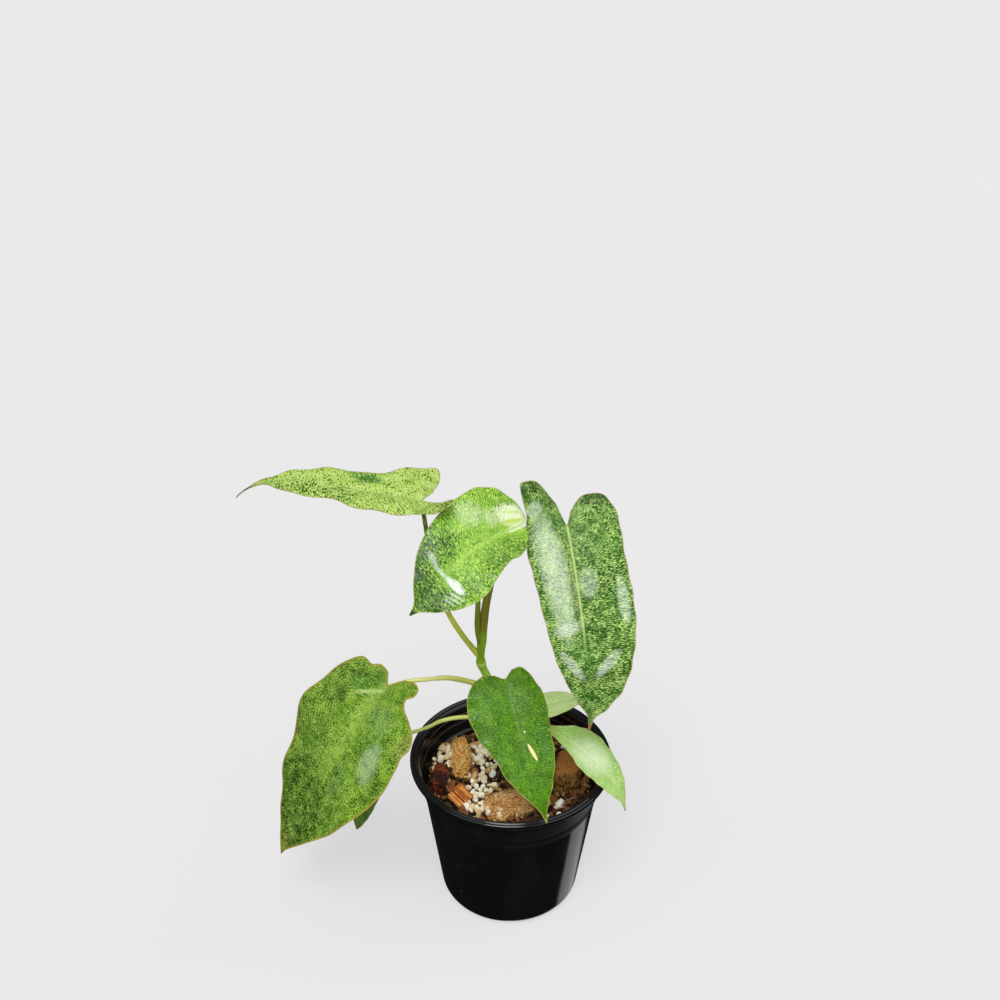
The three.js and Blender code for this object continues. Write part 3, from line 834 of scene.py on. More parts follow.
def stalk_tree() -> ShapeTree:
    """Sweeps a round stalk along a path, with swellings at four places and a flare at its end."""
    rings = ("Ring 1", "Ring 2", "Ring 3", "Ring 4")
    sizes = ("Foot radius", "Top radius", "Taper", "Flare", "Ring height", "Ring width", "Unevenness")
    tree = ShapeTree("stalk", {"Int": ("Sides",), "Float": (*sizes, *rings)})
    curve = tree.node("GeometryNodeMeshToCurve", {"Mesh": tree.input("Shape")})
    share = tree.node("GeometryNodeSplineParameter", output="Factor")
    foot, top = tree.input("Foot radius"), tree.input("Top radius")
    radius = top + (foot - top) * ((1.0 - share) ** tree.input("Taper"))
    for label in rings:
        off = (share - tree.input(label)) / tree.input("Ring width")
        radius = radius + tree.input("Ring height") * (off * off * -1.0).exponent()
    radius = radius + tree.input("Flare") * ((share - FLARE_FROM) / FLARE_SPAN).larger(0.0)
    curve = tree.noted(curve, "along", share)
    round_one = tree.node(
        "GeometryNodeCurvePrimitiveCircle", {"Resolution": tree.input("Sides"), "Radius": 1.0}, output="Curve"
    )
    round_one = tree.noted(round_one, "around", tree.node("GeometryNodeSplineParameter", output="Factor"))
    swept = tree.node(
        "GeometryNodeCurveToMesh", {"Curve": curve, "Profile Curve": round_one, "Scale": radius, "Fill Caps": True}
    )
    place = tree.node("GeometryNodeInputPosition")
    bumps = tree.noise(place, BUMP_SCALE, 2) - 0.5
    push = tree.scaled(tree.node("GeometryNodeInputNormal"), bumps * tree.input("Unevenness"))
    uneven = tree.node("GeometryNodeSetPosition", {"Geometry": swept, "Offset": push})
    return tree.close(tree.node("GeometryNodeSetShadeSmooth", {"Geometry": uneven}))


def strew_tree() -> ShapeTree:
    """Strews shapes of a collection over a ground, denser where its patch attribute is high."""
    sizes = ("Density", "Spacing", "Smallest", "Largest", "Tilt", "Lift")
    tree = ShapeTree("strew", {"Collection": ("Grains",), "String": ("Patch",), "Float": sizes, "Int": ("Seed",)})
    patch = tree.node(
        "GeometryNodeInputNamedAttribute", {"Name": tree.input("Patch")}, output="Attribute", data_type="FLOAT"
    )
    seed = tree.input("Seed")
    spread = tree.node(
        "GeometryNodeDistributePointsOnFaces",
        {
            "Mesh": tree.input("Shape"), "Distance Min": tree.input("Spacing"), "Density Max": tree.input("Density"),
            "Density Factor": patch, "Seed": seed
        },
        distribute_method="POISSON"
    )
    tilt = tree.input("Tilt")
    low = tree.node("ShaderNodeCombineXYZ", {0: tilt * -1.0, 1: tilt * -1.0, 2: -math.pi})
    high = tree.node("ShaderNodeCombineXYZ", {0: tilt, 1: tilt, 2: math.pi})
    spin = tree.draw(low, high, seed + 1, "FLOAT_VECTOR")
    spin = tree.node("FunctionNodeEulerToRotation", {"Euler": spin})
    turn = tree.node(
        "FunctionNodeRotateRotation", {"Rotation": spread.output("Rotation"), "Rotate By": spin},
        rotation_space="LOCAL"
    )
    share = tree.draw(0.0, 1.0, seed + 2)
    size = tree.input("Smallest") + (tree.input("Largest") - tree.input("Smallest")) * share * share
    lifted = tree.scaled(spread.output("Normal"), tree.input("Lift") * size)
    points = tree.node("GeometryNodeSetPosition", {"Geometry": spread.output("Points"), "Offset": lifted})
    shapes = tree.node(
        "GeometryNodeCollectionInfo",
        {"Collection": tree.input("Grains"), "Separate Children": True, "Reset Children": True}
    )
    choice = tree.draw(0, SHAPE_CHOICES, seed + 3, "INT")
    strewn = tree.node(
        "GeometryNodeInstanceOnPoints",
        {
            "Points": points, "Instance": shapes, "Pick Instance": True, "Instance Index": choice, "Rotation": turn,
            "Scale": size
        }
    )
    tone = tree.draw(0.0, 1.0, seed + 4)
    return tree.close(tree.noted(strewn, "tone", tone, "INSTANCE"))


class Grain(Enum):
    """Shapes that are strewn."""

    CRUMB = "crumb"
    PUMICE = "pumice"
    CHIP = "chip"
    FIBRE = "fibre"


STONES: dict[Grain, tuple[float, Point]] = {
    Grain.CRUMB: (3.0, (1, 0.75, 0.55)), Grain.PUMICE: (2.6, (1, 0.84, 0.72)), Grain.CHIP: (5.0, (1, 0.62, 0.26))
}


def grain_shapes(kind: Grain, count: int = 5) -> bpy.types.Collection:
    """A collection of shapes about one metre across, which the strewing scales down.

    Args:
        kind: the sort of grain.
        count: how many different ones.

    Returns:
        The collection, not linked to the scene.
    """
    group = bpy.data.collections.new(kind.value)
    for number in range(count):
        mesh = bpy.data.meshes.new(f"{kind.value}_{number}")
        if kind is Grain.FIBRE:
            points, faces = fibre_shape(number)
        else:
            points, faces = stone_shape(kind, number)
        mesh.from_pydata(points.tolist(), [], faces)
        mesh.polygons.foreach_set("use_smooth", [kind is Grain.FIBRE] * len(faces))
        group.objects.link(bpy.data.objects.new(mesh.name, mesh))
    return group


def clear_shapes(group: bpy.types.Collection) -> None:
    """Removes a collection of shapes and all in it."""
    for shape in list(group.objects):
        mesh = shape.data
        bpy.data.objects.remove(shape)
        bpy.data.meshes.remove(mesh)
    bpy.data.collections.remove(group)


def ball(level: int) -> tuple[Grid, list]:
    """A unit ball of triangles, its eight sides each split level times."""
    corners = [(1, 0, 0), (0, 1, 0), (-1, 0, 0), (0, -1, 0), (0, 0, 1), (0, 0, -1)]
    faces = [(0, 1, 4), (1, 2, 4), (2, 3, 4), (3, 0, 4), (1, 0, 5), (2, 1, 5), (3, 2, 5), (0, 3, 5)]
    points = [np.array(c, float) for c in corners]
    for _ in range(level):
        middles: dict[tuple[int, int], int] = {}

        def middle(a: int, b: int) -> int:
            """The number of the point half way between two others."""
            key = (min(a, b), max(a, b))
            if key not in middles:
                middles[key] = len(points)
                points.append(unit(points[a] + points[b]))
            return middles[key]

        split = []
        for a, b, c in faces:
            ab, bc, ca = middle(a, b), middle(b, c), middle(c, a)
            split += [(a, ab, ca), (ab, b, bc), (ca, bc, c), (ab, bc, ca)]
        faces = split
    return np.array(points), faces


def stone_shape(kind: Grain, number: int) -> tuple[Grid, list]:
    """A dented stone, crumb or flat chip of a size near 1."""
    draw = np.random.default_rng(STONE_SEED + number)
    points, faces = ball(1 if kind is Grain.CRUMB else 2)
    power, proportions = STONES[kind]
    squared = (np.abs(points) ** power).sum(1) ** (-1 / power)
    points = points * squared[:, None]
    points *= 1 + draw.uniform(-0.16, 0.16, (len(points), 1))
    points *= np.array(proportions) * draw.uniform(0.85, 1.15, 3)
    return points * 0.5, faces


def fibre_shape(number: int, steps: int = 6) -> tuple[Grid, list]:
    """A thin bent strand about 1 long, three sides round."""
    draw = np.random.default_rng(FIBRE_SEED + number)
    share = np.linspace(-0.5, 0.5, steps)
    bend, lift = draw.uniform(-0.35, 0.35), draw.uniform(0.02, 0.14)
    centre = np.stack([share, bend * (share**2 * 4 - 1) * 0.5, lift * (1 - 4 * share**2)], 1)
    centre[:, 1] += 0.04 * np.sin(9 * share + number)
    thick = 0.016 * (1 - 0.6 * np.abs(share) * 2)
    points = []
    for middle, radius in zip(centre, thick):
        for k in range(3):
            angle = FULL_TURN * k / 3
            points.append(middle + radius * np.array([0, math.cos(angle), math.sin(angle)]))
    faces = [(0, 2, 1), tuple(3 * (steps - 1) + k for k in range(3))]
    for i in range(steps - 1):
        for k in range(3):
            a, b = 3 * i + k, 3 * i + (k + 1) % 3
            faces.append((a, b, b + 3, a + 3))
    return np.array(points), faces


@dataclass(frozen=True)
class Strewing:
    """How a kind of grain lies on a ground; sizes in millimetres."""

    name: str
    kind: Grain
    patch: str
    per_cm2: float
    spacing: float
    smallest: float
    largest: float
    tilt: float
    lift: float
    seed: int

    def over(self, ground: bpy.types.Object, material: bpy.types.Material) -> bpy.types.Object:
        """The strewn grains, as one new piece.

        Args:
            ground: what they lie on.
            material: their material.

        Returns:
            The piece.
        """
        piece = bpy.data.objects.new(self.name, ground.data.copy())
        bpy.context.scene.collection.objects.link(piece)
        shapes = grain_shapes(self.kind)
        piece.data.materials.clear()
        strew_tree().run(
            piece,
            {
                "Grains": shapes, "Patch": self.patch, "Density": self.per_cm2 * PER_CM2, "Spacing": self.spacing * MM,
                "Smallest": self.smallest * MM, "Largest": self.largest * MM, "Tilt": self.tilt, "Lift": self.lift,
                "Seed": self.seed, "Material": material
            }
        )
        clear_shapes(shapes)
        return piece


# Sub-assemblies


@dataclass(frozen=True)
class NurseryPot:
    """The round black pot: tapered body, wider collar, double-ridged lip, drilled floor."""

    height: float = 107.0
    rim_radius: float = 65.0
    collar_height: float = 19.0
    collar_top_radius: float = 60.6
    collar_foot_radius: float = 58.2
    body_top_radius: float = 56.6
    base_radius: float = 45.3
    base_rounding: float = 4.0
    lip_height: float = 3.2
    wall: float = 1.6
    floor: float = 2.0
    drain_holes: int = 8
    drain_radius: float = 4.0
    drain_circle: float = 33.0
    sides: int = 160

    def profile(self) -> list[tuple[float, float, float]]:
        """The section from the middle of the underside round to the middle of the floor.

        Returns:
            (radius, height, rounding) of each corner.
        """
        top, rim, wall, floor = self.height, self.rim_radius, self.wall, self.floor
        step, lip_foot = top - self.collar_height, top - self.lip_height
        inner_top, inner_foot = self.collar_top_radius - wall, self.collar_foot_radius - wall
        body, base, rounding = self.body_top_radius, self.base_radius, self.base_rounding
        return [
            (0, 0.9, 0), (16, 0.9, 0.5), (17.5, 0.0, 0.5), (base - rounding, 0.0, 2.5), (base, rounding, 3.0),
            (body - 0.6, step - 7.0, 0.3), (body - 0.2, step - 6.6, 0.3), (body, step - 1.2, 0.4),
            (self.collar_foot_radius, step, 0.5), (self.collar_top_radius, lip_foot, 0.5), (rim - 0.3, lip_foot, 0.4),
            (rim, lip_foot + 0.6, 0.4), (rim, top - 0.6, 0.5), (rim - 0.8, top, 0.5), (rim - 1.7, top - 0.1, 0.4),
            (rim - 2.4, top - 1.0, 0.5), (rim - 3.1, top - 0.15, 0.5), (rim - 4.6, top - 0.3, 0.5),
            (inner_top, top - 2.4, 0.6), (inner_top - 0.2, top - 6.5, 0.3), (inner_top - 0.7, top - 7.0, 0.3),
            (inner_top - 1.1, top - 12.0, 0.3), (inner_top - 1.6, top - 12.5, 0.3), (inner_foot, step, 0.5),
            (body - wall, step - 1.4, 0.5), (base - wall, floor + 3, 1.5), (base - wall - 2.5, floor, 1.2),
            (0, floor, 0)
        ]

    def section(self, arc: int = 4) -> Grid:
        """The profile with its corners rounded, as (x, 0, z) points."""
        corners = np.array([(r, z) for r, z, _ in self.profile()], float)
        points = [corners[0]]
        for k in range(1, len(corners) - 1):
            before, here, after = corners[k - 1 : k + 2]
            room = 0.45 * min(np.linalg.norm(before - here), np.linalg.norm(after - here))
            cut = min(self.profile()[k][2], room)
            start = here + unit(before - here) * cut
            end = here + unit(after - here) * cut
            for share in np.linspace(0, 1, arc + 1):
                points.append((1 - share) ** 2 * start + 2 * share * (1 - share) * here + share**2 * end)
        points.append(corners[-1])
        flat = np.array(points)
        return np.stack([flat[:, 0], 0 * flat[:, 0], flat[:, 1]], 1)

    def build(self) -> None:
        """Makes the pot and puts it in the place of its solid."""
        section = self.section()
        edges = [(k, k + 1) for k in range(len(section) - 1)]
        pot = add_piece("pot_shell", section, [], edges)
        lathe_tree().run(
            pot,
            {
                "Sides": self.sides, "Holes": self.drain_holes, "Hole radius": self.drain_radius * MM,
                "Hole circle": self.drain_circle * MM, "Drill length": 6 * self.floor * MM,
                "Material": PotPlastic().material()
            }
        )
        face_out(pot)
        pot.data.set_sharp_from_angle(angle=math.radians(50))
        settle(pot, "pot_plastic", "pot")


def face_out(piece: bpy.types.Object) -> None:
    """Turns a closed piece's faces outwards if they point in."""
    mesh = piece.data
    mesh.calc_loop_triangles()
    points = np.empty(len(mesh.vertices) * 3)
    mesh.vertices.foreach_get("co", points)
    corners = np.empty(len(mesh.loop_triangles) * 3, int)
    mesh.loop_triangles.foreach_get("vertices", corners)
    a, b, c = points.reshape(-1, 3)[corners.reshape(-1, 3)].transpose(1, 0, 2)
    if np.einsum("ij,ij->i", a, np.cross(b, c)).sum() < 0:
        mesh.flip_normals()


@dataclass(frozen=True)
class Stalk:
    """A stem or petiole swept along a path."""

    node: str
    slot: str
    finish: StalkFinish
    radii: Pair
    path: tuple[Point, ...]
    taper: float = 1.3
    flare: float = 0.0
    ring_height: float = 0.0
    ring_width: float = 0.02
    rings: tuple[float, ...] = (2.0, 2.0, 2.0, 2.0)
    unevenness: float = 0.5
    steps: int = 110
    sides: int = 20

    def build(self, tree: ShapeTree) -> None:
        """Makes the stalk.

        Args:
            tree: the sweeping tree.
        """
        points = smooth_path(list(self.path), self.steps)
        stalk = add_piece("stalk_" + self.node, points, [], [(k, k + 1) for k in range(self.steps - 1)])
        values = {
            "Sides": self.sides, "Foot radius": self.radii[0] * MM, "Top radius": self.radii[1] * MM,
            "Taper": self.taper, "Flare": self.flare * MM, "Ring height": self.ring_height * MM,
            "Ring width": self.ring_width, "Unevenness": self.unevenness * MM, "Material": self.finish.material()
        }
        values.update({f"Ring {k + 1}": place for k, place in enumerate(self.rings)})
        tree.run(stalk, values)
        face_out(stalk)
        settle(stalk, self.slot, self.node)


@dataclass(frozen=True)
class Dent:
    """A local hollow or swelling of a blade: where, how wide and how high, in the flat leaf."""

    at: Pair
    reach: Pair
    turn: float
    height: float

    def lift(self, x: Grid, y: Grid) -> Grid:
        """How far it lifts each place."""
        ahead, beside = turned(x, y, self.at, self.turn)
        return self.height * np.exp(-((ahead / self.reach[0]) ** 2) - (beside / self.reach[1]) ** 2)


@dataclass(frozen=True)
class Blade:
    """A leaf blade between its base and its tip, with veins, margins and a thin spike."""

    name: str
    slot: str
    finish: LeafFinish
    base: Point
    tip: Point
    roll: float
    rise: float
    droop: float
    bend: float
    fold: float
    curl: float
    half_width: float
    wave: tuple[float, float, float]
    right: tuple[Pair, ...]
    left: tuple[Pair, ...]
    lobe_lift: Pair = (0.0, 0.0)
    veins: int = 26
    vein_depth: float = 0.16
    ruffle: Pair = (0.35, 9.0)
    sway: float = 0.0
    dents: tuple[Dent, ...] = ()
    thickness: float = 0.5
    rows: int = 220
    columns: int = 36
    seed: float = 1.0

    @property
    def length(self) -> float:
        """Straight length from base to tip."""
        return float(np.linalg.norm(np.subtract(self.tip, self.base)))

    def directions(self) -> tuple[Grid, Grid, Grid]:
        """The direction to the blade's right, and its midrib's slopes at base and tip."""
        along = unit(np.subtract(self.tip, self.base))
        face = unit(np.array([0, 0, 1]) - along * along[2])
        roll = math.radians(self.roll)
        face = face * math.cos(roll) + np.cross(along, face) * math.sin(roll)
        side = np.cross(along, face)

        def slope(pitch: float, yaw: float) -> Grid:
            """The midrib's direction at an end."""
            p, w = math.radians(pitch), math.radians(yaw)
            return unit(along * math.cos(p) * math.cos(w) + face * math.sin(p) + side * math.sin(w))

        return side, slope(self.rise, self.bend), slope(-self.droop, -self.bend)

    def surface(self, x: Grid, y: Grid, extra: Grid | float = 0.0, shift: Grid | float = 0.0) -> Grid:
        """The middle surface at places of the flat leaf.

        Args:
            x: millimetres to the right of the midrib.
            y: millimetres along it.
            extra: a further lift of each place.
            shift: a further way of each place to the right.

        Returns:
            An array of points.
        """
        side, start, end = self.directions()
        base, tip, length = np.array(self.base), np.array(self.tip), self.length
        t = np.clip(y / length, 0, 1)[..., None]
        centre = (
            base * (2 * t**3 - 3 * t**2 + 1) + start * length * (t**3 - 2 * t**2 + t)
            + tip * (3 * t**2 - 2 * t**3) + end * length * (t**3 - t**2)
        )
        ahead = unit(
            base * (6 * t**2 - 6 * t) + start * length * (3 * t**2 - 4 * t + 1)
            + tip * (6 * t - 6 * t**2) + end * length * (3 * t**2 - 2 * t)
        )
        right = unit(side - ahead * (ahead @ side)[..., None])
        up = np.cross(right, ahead)
        share = np.abs(x) / self.half_width
        back = np.minimum(y, 0)
        lobe = np.where(x < 0, self.lobe_lift[1], self.lobe_lift[0])
        height, waves, phase = self.wave
        t = t[..., 0]
        ridge = np.sqrt(share**2 + 0.0025) - 0.05
        lift = self.half_width * (self.fold * (1 - 0.55 * t) * ridge - self.curl * share**2 * 0.5)
        lift -= back * np.tan(np.radians(lobe)) * np.minimum(1, 2 * share)
        turn = waves * t + phase + np.where(x < 0, 0.35, 0)
        lift += height * share**2 * np.sin(FULL_TURN * turn) + extra
        beyond = back + np.maximum(y - length, 0)
        return centre + ahead * beyond[..., None] + right * (x + shift)[..., None] + up * lift[..., None]

    def layout(self) -> dict[str, Grid]:
        """The grid of the flat leaf: one row for each lateral line, from the left margin to the right.

        Returns:
            Arrays of shape (rows + 1, 2 * columns + 1): x, y, signed share, row share, length of vein.
        """
        row = np.linspace(0, 1, self.rows + 1)
        root = self.length * (0.04 * row + 0.96 * np.maximum(0, (row - 0.12) / 0.88) ** 1.15)
        share = np.linspace(-1, 1, 2 * self.columns + 1)
        share = np.sign(share) * (1 - (1 - np.abs(share)) ** 1.15)
        margins = {}
        for side, outline in ((-1, self.left), (1, self.right)):
            margins[side] = smooth_path([(x, y, 0) for x, y in outline], self.rows + 1)
        margin_x = np.where(share < 0, margins[-1][:, :1], margins[1][:, :1])
        margin_y = np.where(share < 0, margins[-1][:, 1:2], margins[1][:, 1:2])
        reach = np.abs(share)
        x = share * margin_x
        y = root[:, None] + reach * (margin_y - root[:, None])
        lateral = np.hypot(margin_x, margin_y - root[:, None])
        shares = np.broadcast_to(share, x.shape)
        rows = np.broadcast_to(row[:, None], x.shape)
        return {"x": x, "y": y, "share": shares, "row": rows, "lateral": lateral, "margins": margins}

    def vein_lines(self, grid: dict[str, Grid]) -> Grid:
        """How near each place is to a lateral vein, from 0 to 1."""
        phase = grid["row"] * self.veins + np.where(grid["share"] < 0, 0.5, 0.0)
        off = np.abs((phase + 0.5) % 1 - 0.5)
        fade = np.clip(1.15 - np.abs(grid["share"]), 0, 1) * np.clip(np.abs(grid["share"]) * 8, 0, 1)
        return np.exp(-((off / 0.13) ** 2)) * fade

    def build(self) -> None:
        """Makes the blade in the place of its solid."""
        grid = self.layout()
        x, y, share, row = grid["x"], grid["y"], grid["share"], grid["row"]
        reach = np.abs(share)
        lines = self.vein_lines(grid)
        frill, count = self.ruffle
        extra = frill * reach**5 * np.sin(FULL_TURN * (count * row + 0.13 * self.seed + 0.3 * (share < 0)))
        extra = extra * np.clip(row * 6, 0, 1) * np.clip((1 - row) * 5, 0, 1)
        for dent in self.dents:
            extra = extra + dent.lift(x, y)
        sway = self.sway * np.sin(math.pi * np.clip(y / self.length, 0, 1)) * (1 - reach)
        centre = self.surface(x, y, extra, sway)
        normal = unit(np.cross(np.gradient(centre, axis=1), np.gradient(centre, axis=0)))
        t = np.clip(y / self.length, 0, 1)
        half = self.thickness / 2 * (1 - EDGE_THINNING * reach**6)
        rib_width = 0.35 + 1.1 * (1 - t)
        rib = np.exp(-((x / rib_width) ** 2)) * (1 - t) ** 0.7 * np.clip((y + 3) / 6, 0, 1)
        upper = centre + normal * (half - self.vein_depth * lines - RIB_ABOVE * rib)[..., None]
        lower = centre - normal * (half + 0.5 * self.vein_depth * lines + RIB_BELOW * rib)[..., None]
        self.close(grid, upper, lower, lines)

    def close(self, grid: dict[str, Grid], upper: Grid, lower: Grid, lines: Grid) -> None:
        """Joins the two faces along the edge, and stores what the finish reads.

        Args:
            grid: the flat leaf's layout.
            upper: the upper face's points.
            lower: the lower face's points.
            lines: how near each place is to a lateral vein.
        """
        height, width = upper.shape[:2]
        number = np.arange(height * width).reshape(height, width)
        below = number + height * width
        quads = np.stack([number[:-1, :-1], number[:-1, 1:], number[1:, 1:], number[1:, :-1]], -1).reshape(-1, 4)
        under = quads[:, ::-1] + height * width
        edge = np.concatenate([number[0, :], number[1:, -1], number[-1, -2::-1], number[-2:0:-1, 0]])
        following = np.roll(edge, -1)
        shift = height * width
        rim = np.stack([following, edge, edge + shift, following + shift], -1)
        faces = np.concatenate([quads, under, rim]).tolist()
        points = np.concatenate([upper.reshape(-1, 3), lower.reshape(-1, 3)])
        piece = add_piece("blade_" + self.name, points, faces)
        flat = np.stack([grid["x"], grid["y"], np.clip(grid["y"] / self.length, 0, 1)], -1).reshape(-1, 3)
        reach = np.abs(grid["share"]) * grid["lateral"] * np.sign(grid["share"])
        around = grid["row"] * self.length * VEIN_SPREAD + np.where(grid["share"] < 0, HALF_SHIFT, 0.0)
        vein = np.stack([reach, around, np.full_like(reach, self.seed * LEAF_SHIFT)], -1).reshape(-1, 3)
        outline = np.concatenate([grid["margins"][1][:, :2], grid["margins"][-1][:, :2] * [-1, 1]])
        notch = [m[0, :2] * np.array([s, 1]) * k for s, m in grid["margins"].items() for k in (0, 0.25, 0.5, 0.75)]
        outline = np.concatenate([outline, notch])
        from_edge = np.full(len(flat), 1e9)
        for spot in outline:
            from_edge = np.minimum(from_edge, np.hypot(*(flat[:, :2] - spot).T))
        share = np.abs(grid["share"]).ravel()
        for name, values in (("leaf_place", flat), ("vein_place", vein)):
            store(piece, name, np.concatenate([values, values]))
        tops = np.stack([from_edge, np.zeros_like(share), share], -1)
        bottoms = np.stack([from_edge, np.ones_like(share), share], -1)
        store(piece, "leaf_rim", np.concatenate([tops, bottoms]))
        store(piece, "vein_line", np.concatenate([lines.ravel(), lines.ravel()]))
        piece.data.materials.append(self.finish.material())
        face_out(piece)
        settle(piece, self.slot, "leaf_" + self.name)


@dataclass(frozen=True)
class Patch:
    """A place on the mix: where one kind of grain lies thick, or how far the bed swells there."""

    at: Pair
    reach: Pair
    weight: float = 1.0


@dataclass(frozen=True)
class PottingMix:
    """The bark and pumice mix: a dark bed with strewn crumbs, chips, pumice and fibres."""

    level: float = 86.0
    wall_foot: float = 43.2
    wall_top: float = 54.1
    foot: float = 2.3
    sides: int = 120
    rings: int = 44
    clear_radius: float = 52.6
    swells: tuple[Patch, ...] = (
        Patch((-44, 14), (14, 20), 4.5), Patch((-18, 18), (12, 16), 2.0), Patch((-22, -36), (12, 10), 2.5),
        Patch((26, -32), (12, 10), 1.5)
    )
    pumice: tuple[Patch, ...] = (
        Patch((-46, 13), (8, 14)), Patch((-18, 17), (8, 13)), Patch((-21, -8), (7, 10)),
        Patch((-19, -33), (8, 8), 0.9), Patch((27, -31), (8, 6), 0.6), Patch((14, 32), (18, 10), 0.35),
        Patch((12, 0), (10, 10), 0.3)
    )

    def height(self, x: Grid, y: Grid) -> Grid:
        """Height of the bed at a place."""
        waves = np.sin(0.21 * x + 0.8) * np.cos(0.19 * y - 0.4)
        level = self.level + 1.1 * (waves + 0.6 * np.sin(0.43 * x - 0.37 * y + 1.1))
        for swell in self.swells:
            off = ((x - swell.at[0]) / swell.reach[0]) ** 2 + ((y - swell.at[1]) / swell.reach[1]) ** 2
            level = level + swell.weight * np.exp(-off)
        return level

    def bed(self) -> bpy.types.Object:
        """The closed plug, with its uneven top."""
        angles = np.linspace(0, FULL_TURN, self.sides, endpoint=False)
        circle = np.stack([np.cos(angles), np.sin(angles)], 1)
        rings = []
        for radius, z in ((self.wall_foot - 3.2, self.foot), (self.wall_foot, self.foot + 3.0)):
            rings.append(np.column_stack([circle * radius, np.full(self.sides, z)]))
        for share in np.linspace(1, 0, self.rings, endpoint=False) ** 0.8:
            x, y = (circle * self.wall_top * share).T
            z = self.height(x, y) - 1.4 * share**10
            ring = np.stack([x, y, z], 1)
            ring[:, 2] += 0.9 * rough(ring, 0.35, 4, 3.0) if share < 1 else -0.5
            rings.append(ring)
        points = np.vstack([*rings, [[0, 0, float(self.height(np.zeros(1), np.zeros(1))[0])]], [[0, 0, self.foot]]])
        faces = []
        for i in range(len(rings) - 1):
            for j in range(self.sides):
                a, b = i * self.sides + j, i * self.sides + (j + 1) % self.sides
                faces.append((a, b, b + self.sides, a + self.sides))
        top, bottom = len(points) - 2, len(points) - 1
        last = (len(rings) - 1) * self.sides
        for j in range(self.sides):
            k = (j + 1) % self.sides
            faces.append((last + j, last + k, top))
            faces.append((k, j, bottom))
        piece = add_piece("mix_bed", points, faces)
        face_out(piece)
        flat = points[:, :2]
        radius = np.hypot(*flat.T)
        on_top = (points[:, 2] > self.level - 8) * (radius < self.clear_radius)
        thick = np.zeros(len(points))
        for patch in self.pumice:
            off = np.hypot(*((flat - patch.at) / patch.reach).T)
            thick = np.maximum(thick, patch.weight * np.clip(1.7 - off, 0, 1))
        store(piece, "top", on_top * 1.0)
        store(piece, "pumice", on_top * thick)
        store(piece, "between", on_top * (1 - 0.75 * thick))
        return piece

    def build(self) -> None:
        """Makes the bed and what lies on it."""
        bed = self.bed()
        # The bed's near-black soil colour is partly painted shade for the gaps between the grains.
        soil_and_gap_shade = GrainFinish("mix_soil", 0x120A05, 0x120A05, 0x120A05, 0x050302, 0.7)
        bark = GrainFinish("bark_crumbs", 0x140A04, 0x5E3A1A, 0xC08C52, 0x080402, 0.6)
        chips = GrainFinish("bark_chips", 0x241206, 0x84542A, 0xCC9C60, 0x0E0603, 0.55)
        stones = GrainFinish("pumice", 0xCCAC72, 0xFFF4D6, 0xFFFFF4, 0x8E7850, 0.25, 0.8)
        fibres = GrainFinish("fibres", 0x7A5228, 0xB98A50, 0xD2B078, 0x5A3818, 0.2)
        bed.data.materials.append(soil_and_gap_shade.material())
        layers = (
            (Strewing("mix_crumbs", Grain.CRUMB, "top", 38, 1.5, 1.4, 3.4, math.pi, 0.1, 5), bark),
            (Strewing("mix_chips", Grain.CHIP, "between", 6, 3.4, 3.5, 8.0, 0.7, 0.22, 15), chips),
            (Strewing("mix_pumice", Grain.PUMICE, "pumice", 22, 2.5, 3.0, 5.8, math.pi, 0.5, 25), stones),
            (Strewing("mix_fibres", Grain.FIBRE, "between", 2.2, 3.0, 7.0, 15.0, 0.25, 0.1, 35), fibres)
        )
        for layer, finish in layers:
            grains = layer.over(bed, finish.material())
            settle(grains, "potting_mix", "potting_mix")
        settle(bed, "potting_mix", "potting_mix")


class Form(Enum):
    """How blocky a chunk is: the power of its rounded block."""

    LUMP = 2.8
    SLAB = 4.5
    BLOCK = 14.0


@dataclass(frozen=True)
class Chunk:
    """A loose piece of bark or husk on the mix."""

    node: str
    slot: str
    form: Form
    at: Point
    half: Point
    turn: Point
    finish: ChunkFinish
    roughness: float
    fibres: float = 0.0
    seed: int = 1
    peak: float = 0.0
    splits: int = 5

    def matrix(self) -> Matrix:
        """Its turn about X, then Y, then Z."""
        about_z, about_y, about_x = (math.radians(a) for a in self.turn)
        return Matrix.Rotation(about_z, 3, "Z") @ Matrix.Rotation(about_y, 3, "Y") @ Matrix.Rotation(about_x, 3, "X")

    def build(self) -> None:
        """Makes the chunk, and its fibres where it has them."""
        points, faces = ball(self.splits)
        power = self.form.value
        points = points * ((np.abs(points) ** power).sum(1) ** (-1 / power))[:, None]
        dents = min(0.10, 0.25 / power) * rough(points, 1.6, 3, self.seed)
        points = points * (0.97 + dents[:, None])
        points[:, 2] += self.peak * np.maximum(0, points[:, 2]) * (1 - np.abs(points[:, 0]))
        points = points * np.array(self.half)
        points = points * (1 + self.roughness * rough(points, 0.5, 4, self.seed + 5)[:, None])
        points = points @ np.array(self.matrix()).T + np.array(self.at)
        chunk = add_piece("chunk_" + self.node, points, faces)
        face_out(chunk)
        chunk.data.materials.append(self.finish.material())
        if self.fibres:
            store(chunk, "top", (points[:, 2] > self.at[2] - 0.5 * self.half[2]) * 1.0)
            strand = GrainFinish(
                "strands_" + self.node, self.finish.body, self.finish.bright, 0xD9B981, self.finish.dark, 0.2
            )
            strewing = Strewing(
                "fibres_" + self.node, Grain.FIBRE, "top", self.fibres, 0.7, 3.5, 9.0, 0.3, 0.06, self.seed * 10
            )
            settle(strewing.over(chunk, strand.material()), self.slot, self.node)
        settle(chunk, self.slot, self.node)


@dataclass(frozen=True)
class Glow:
    """A bright field of the room: its azimuths from +Y to +X and its heights, in degrees."""

    turn: Pair
    rise: Pair
    soft: float
    level: float


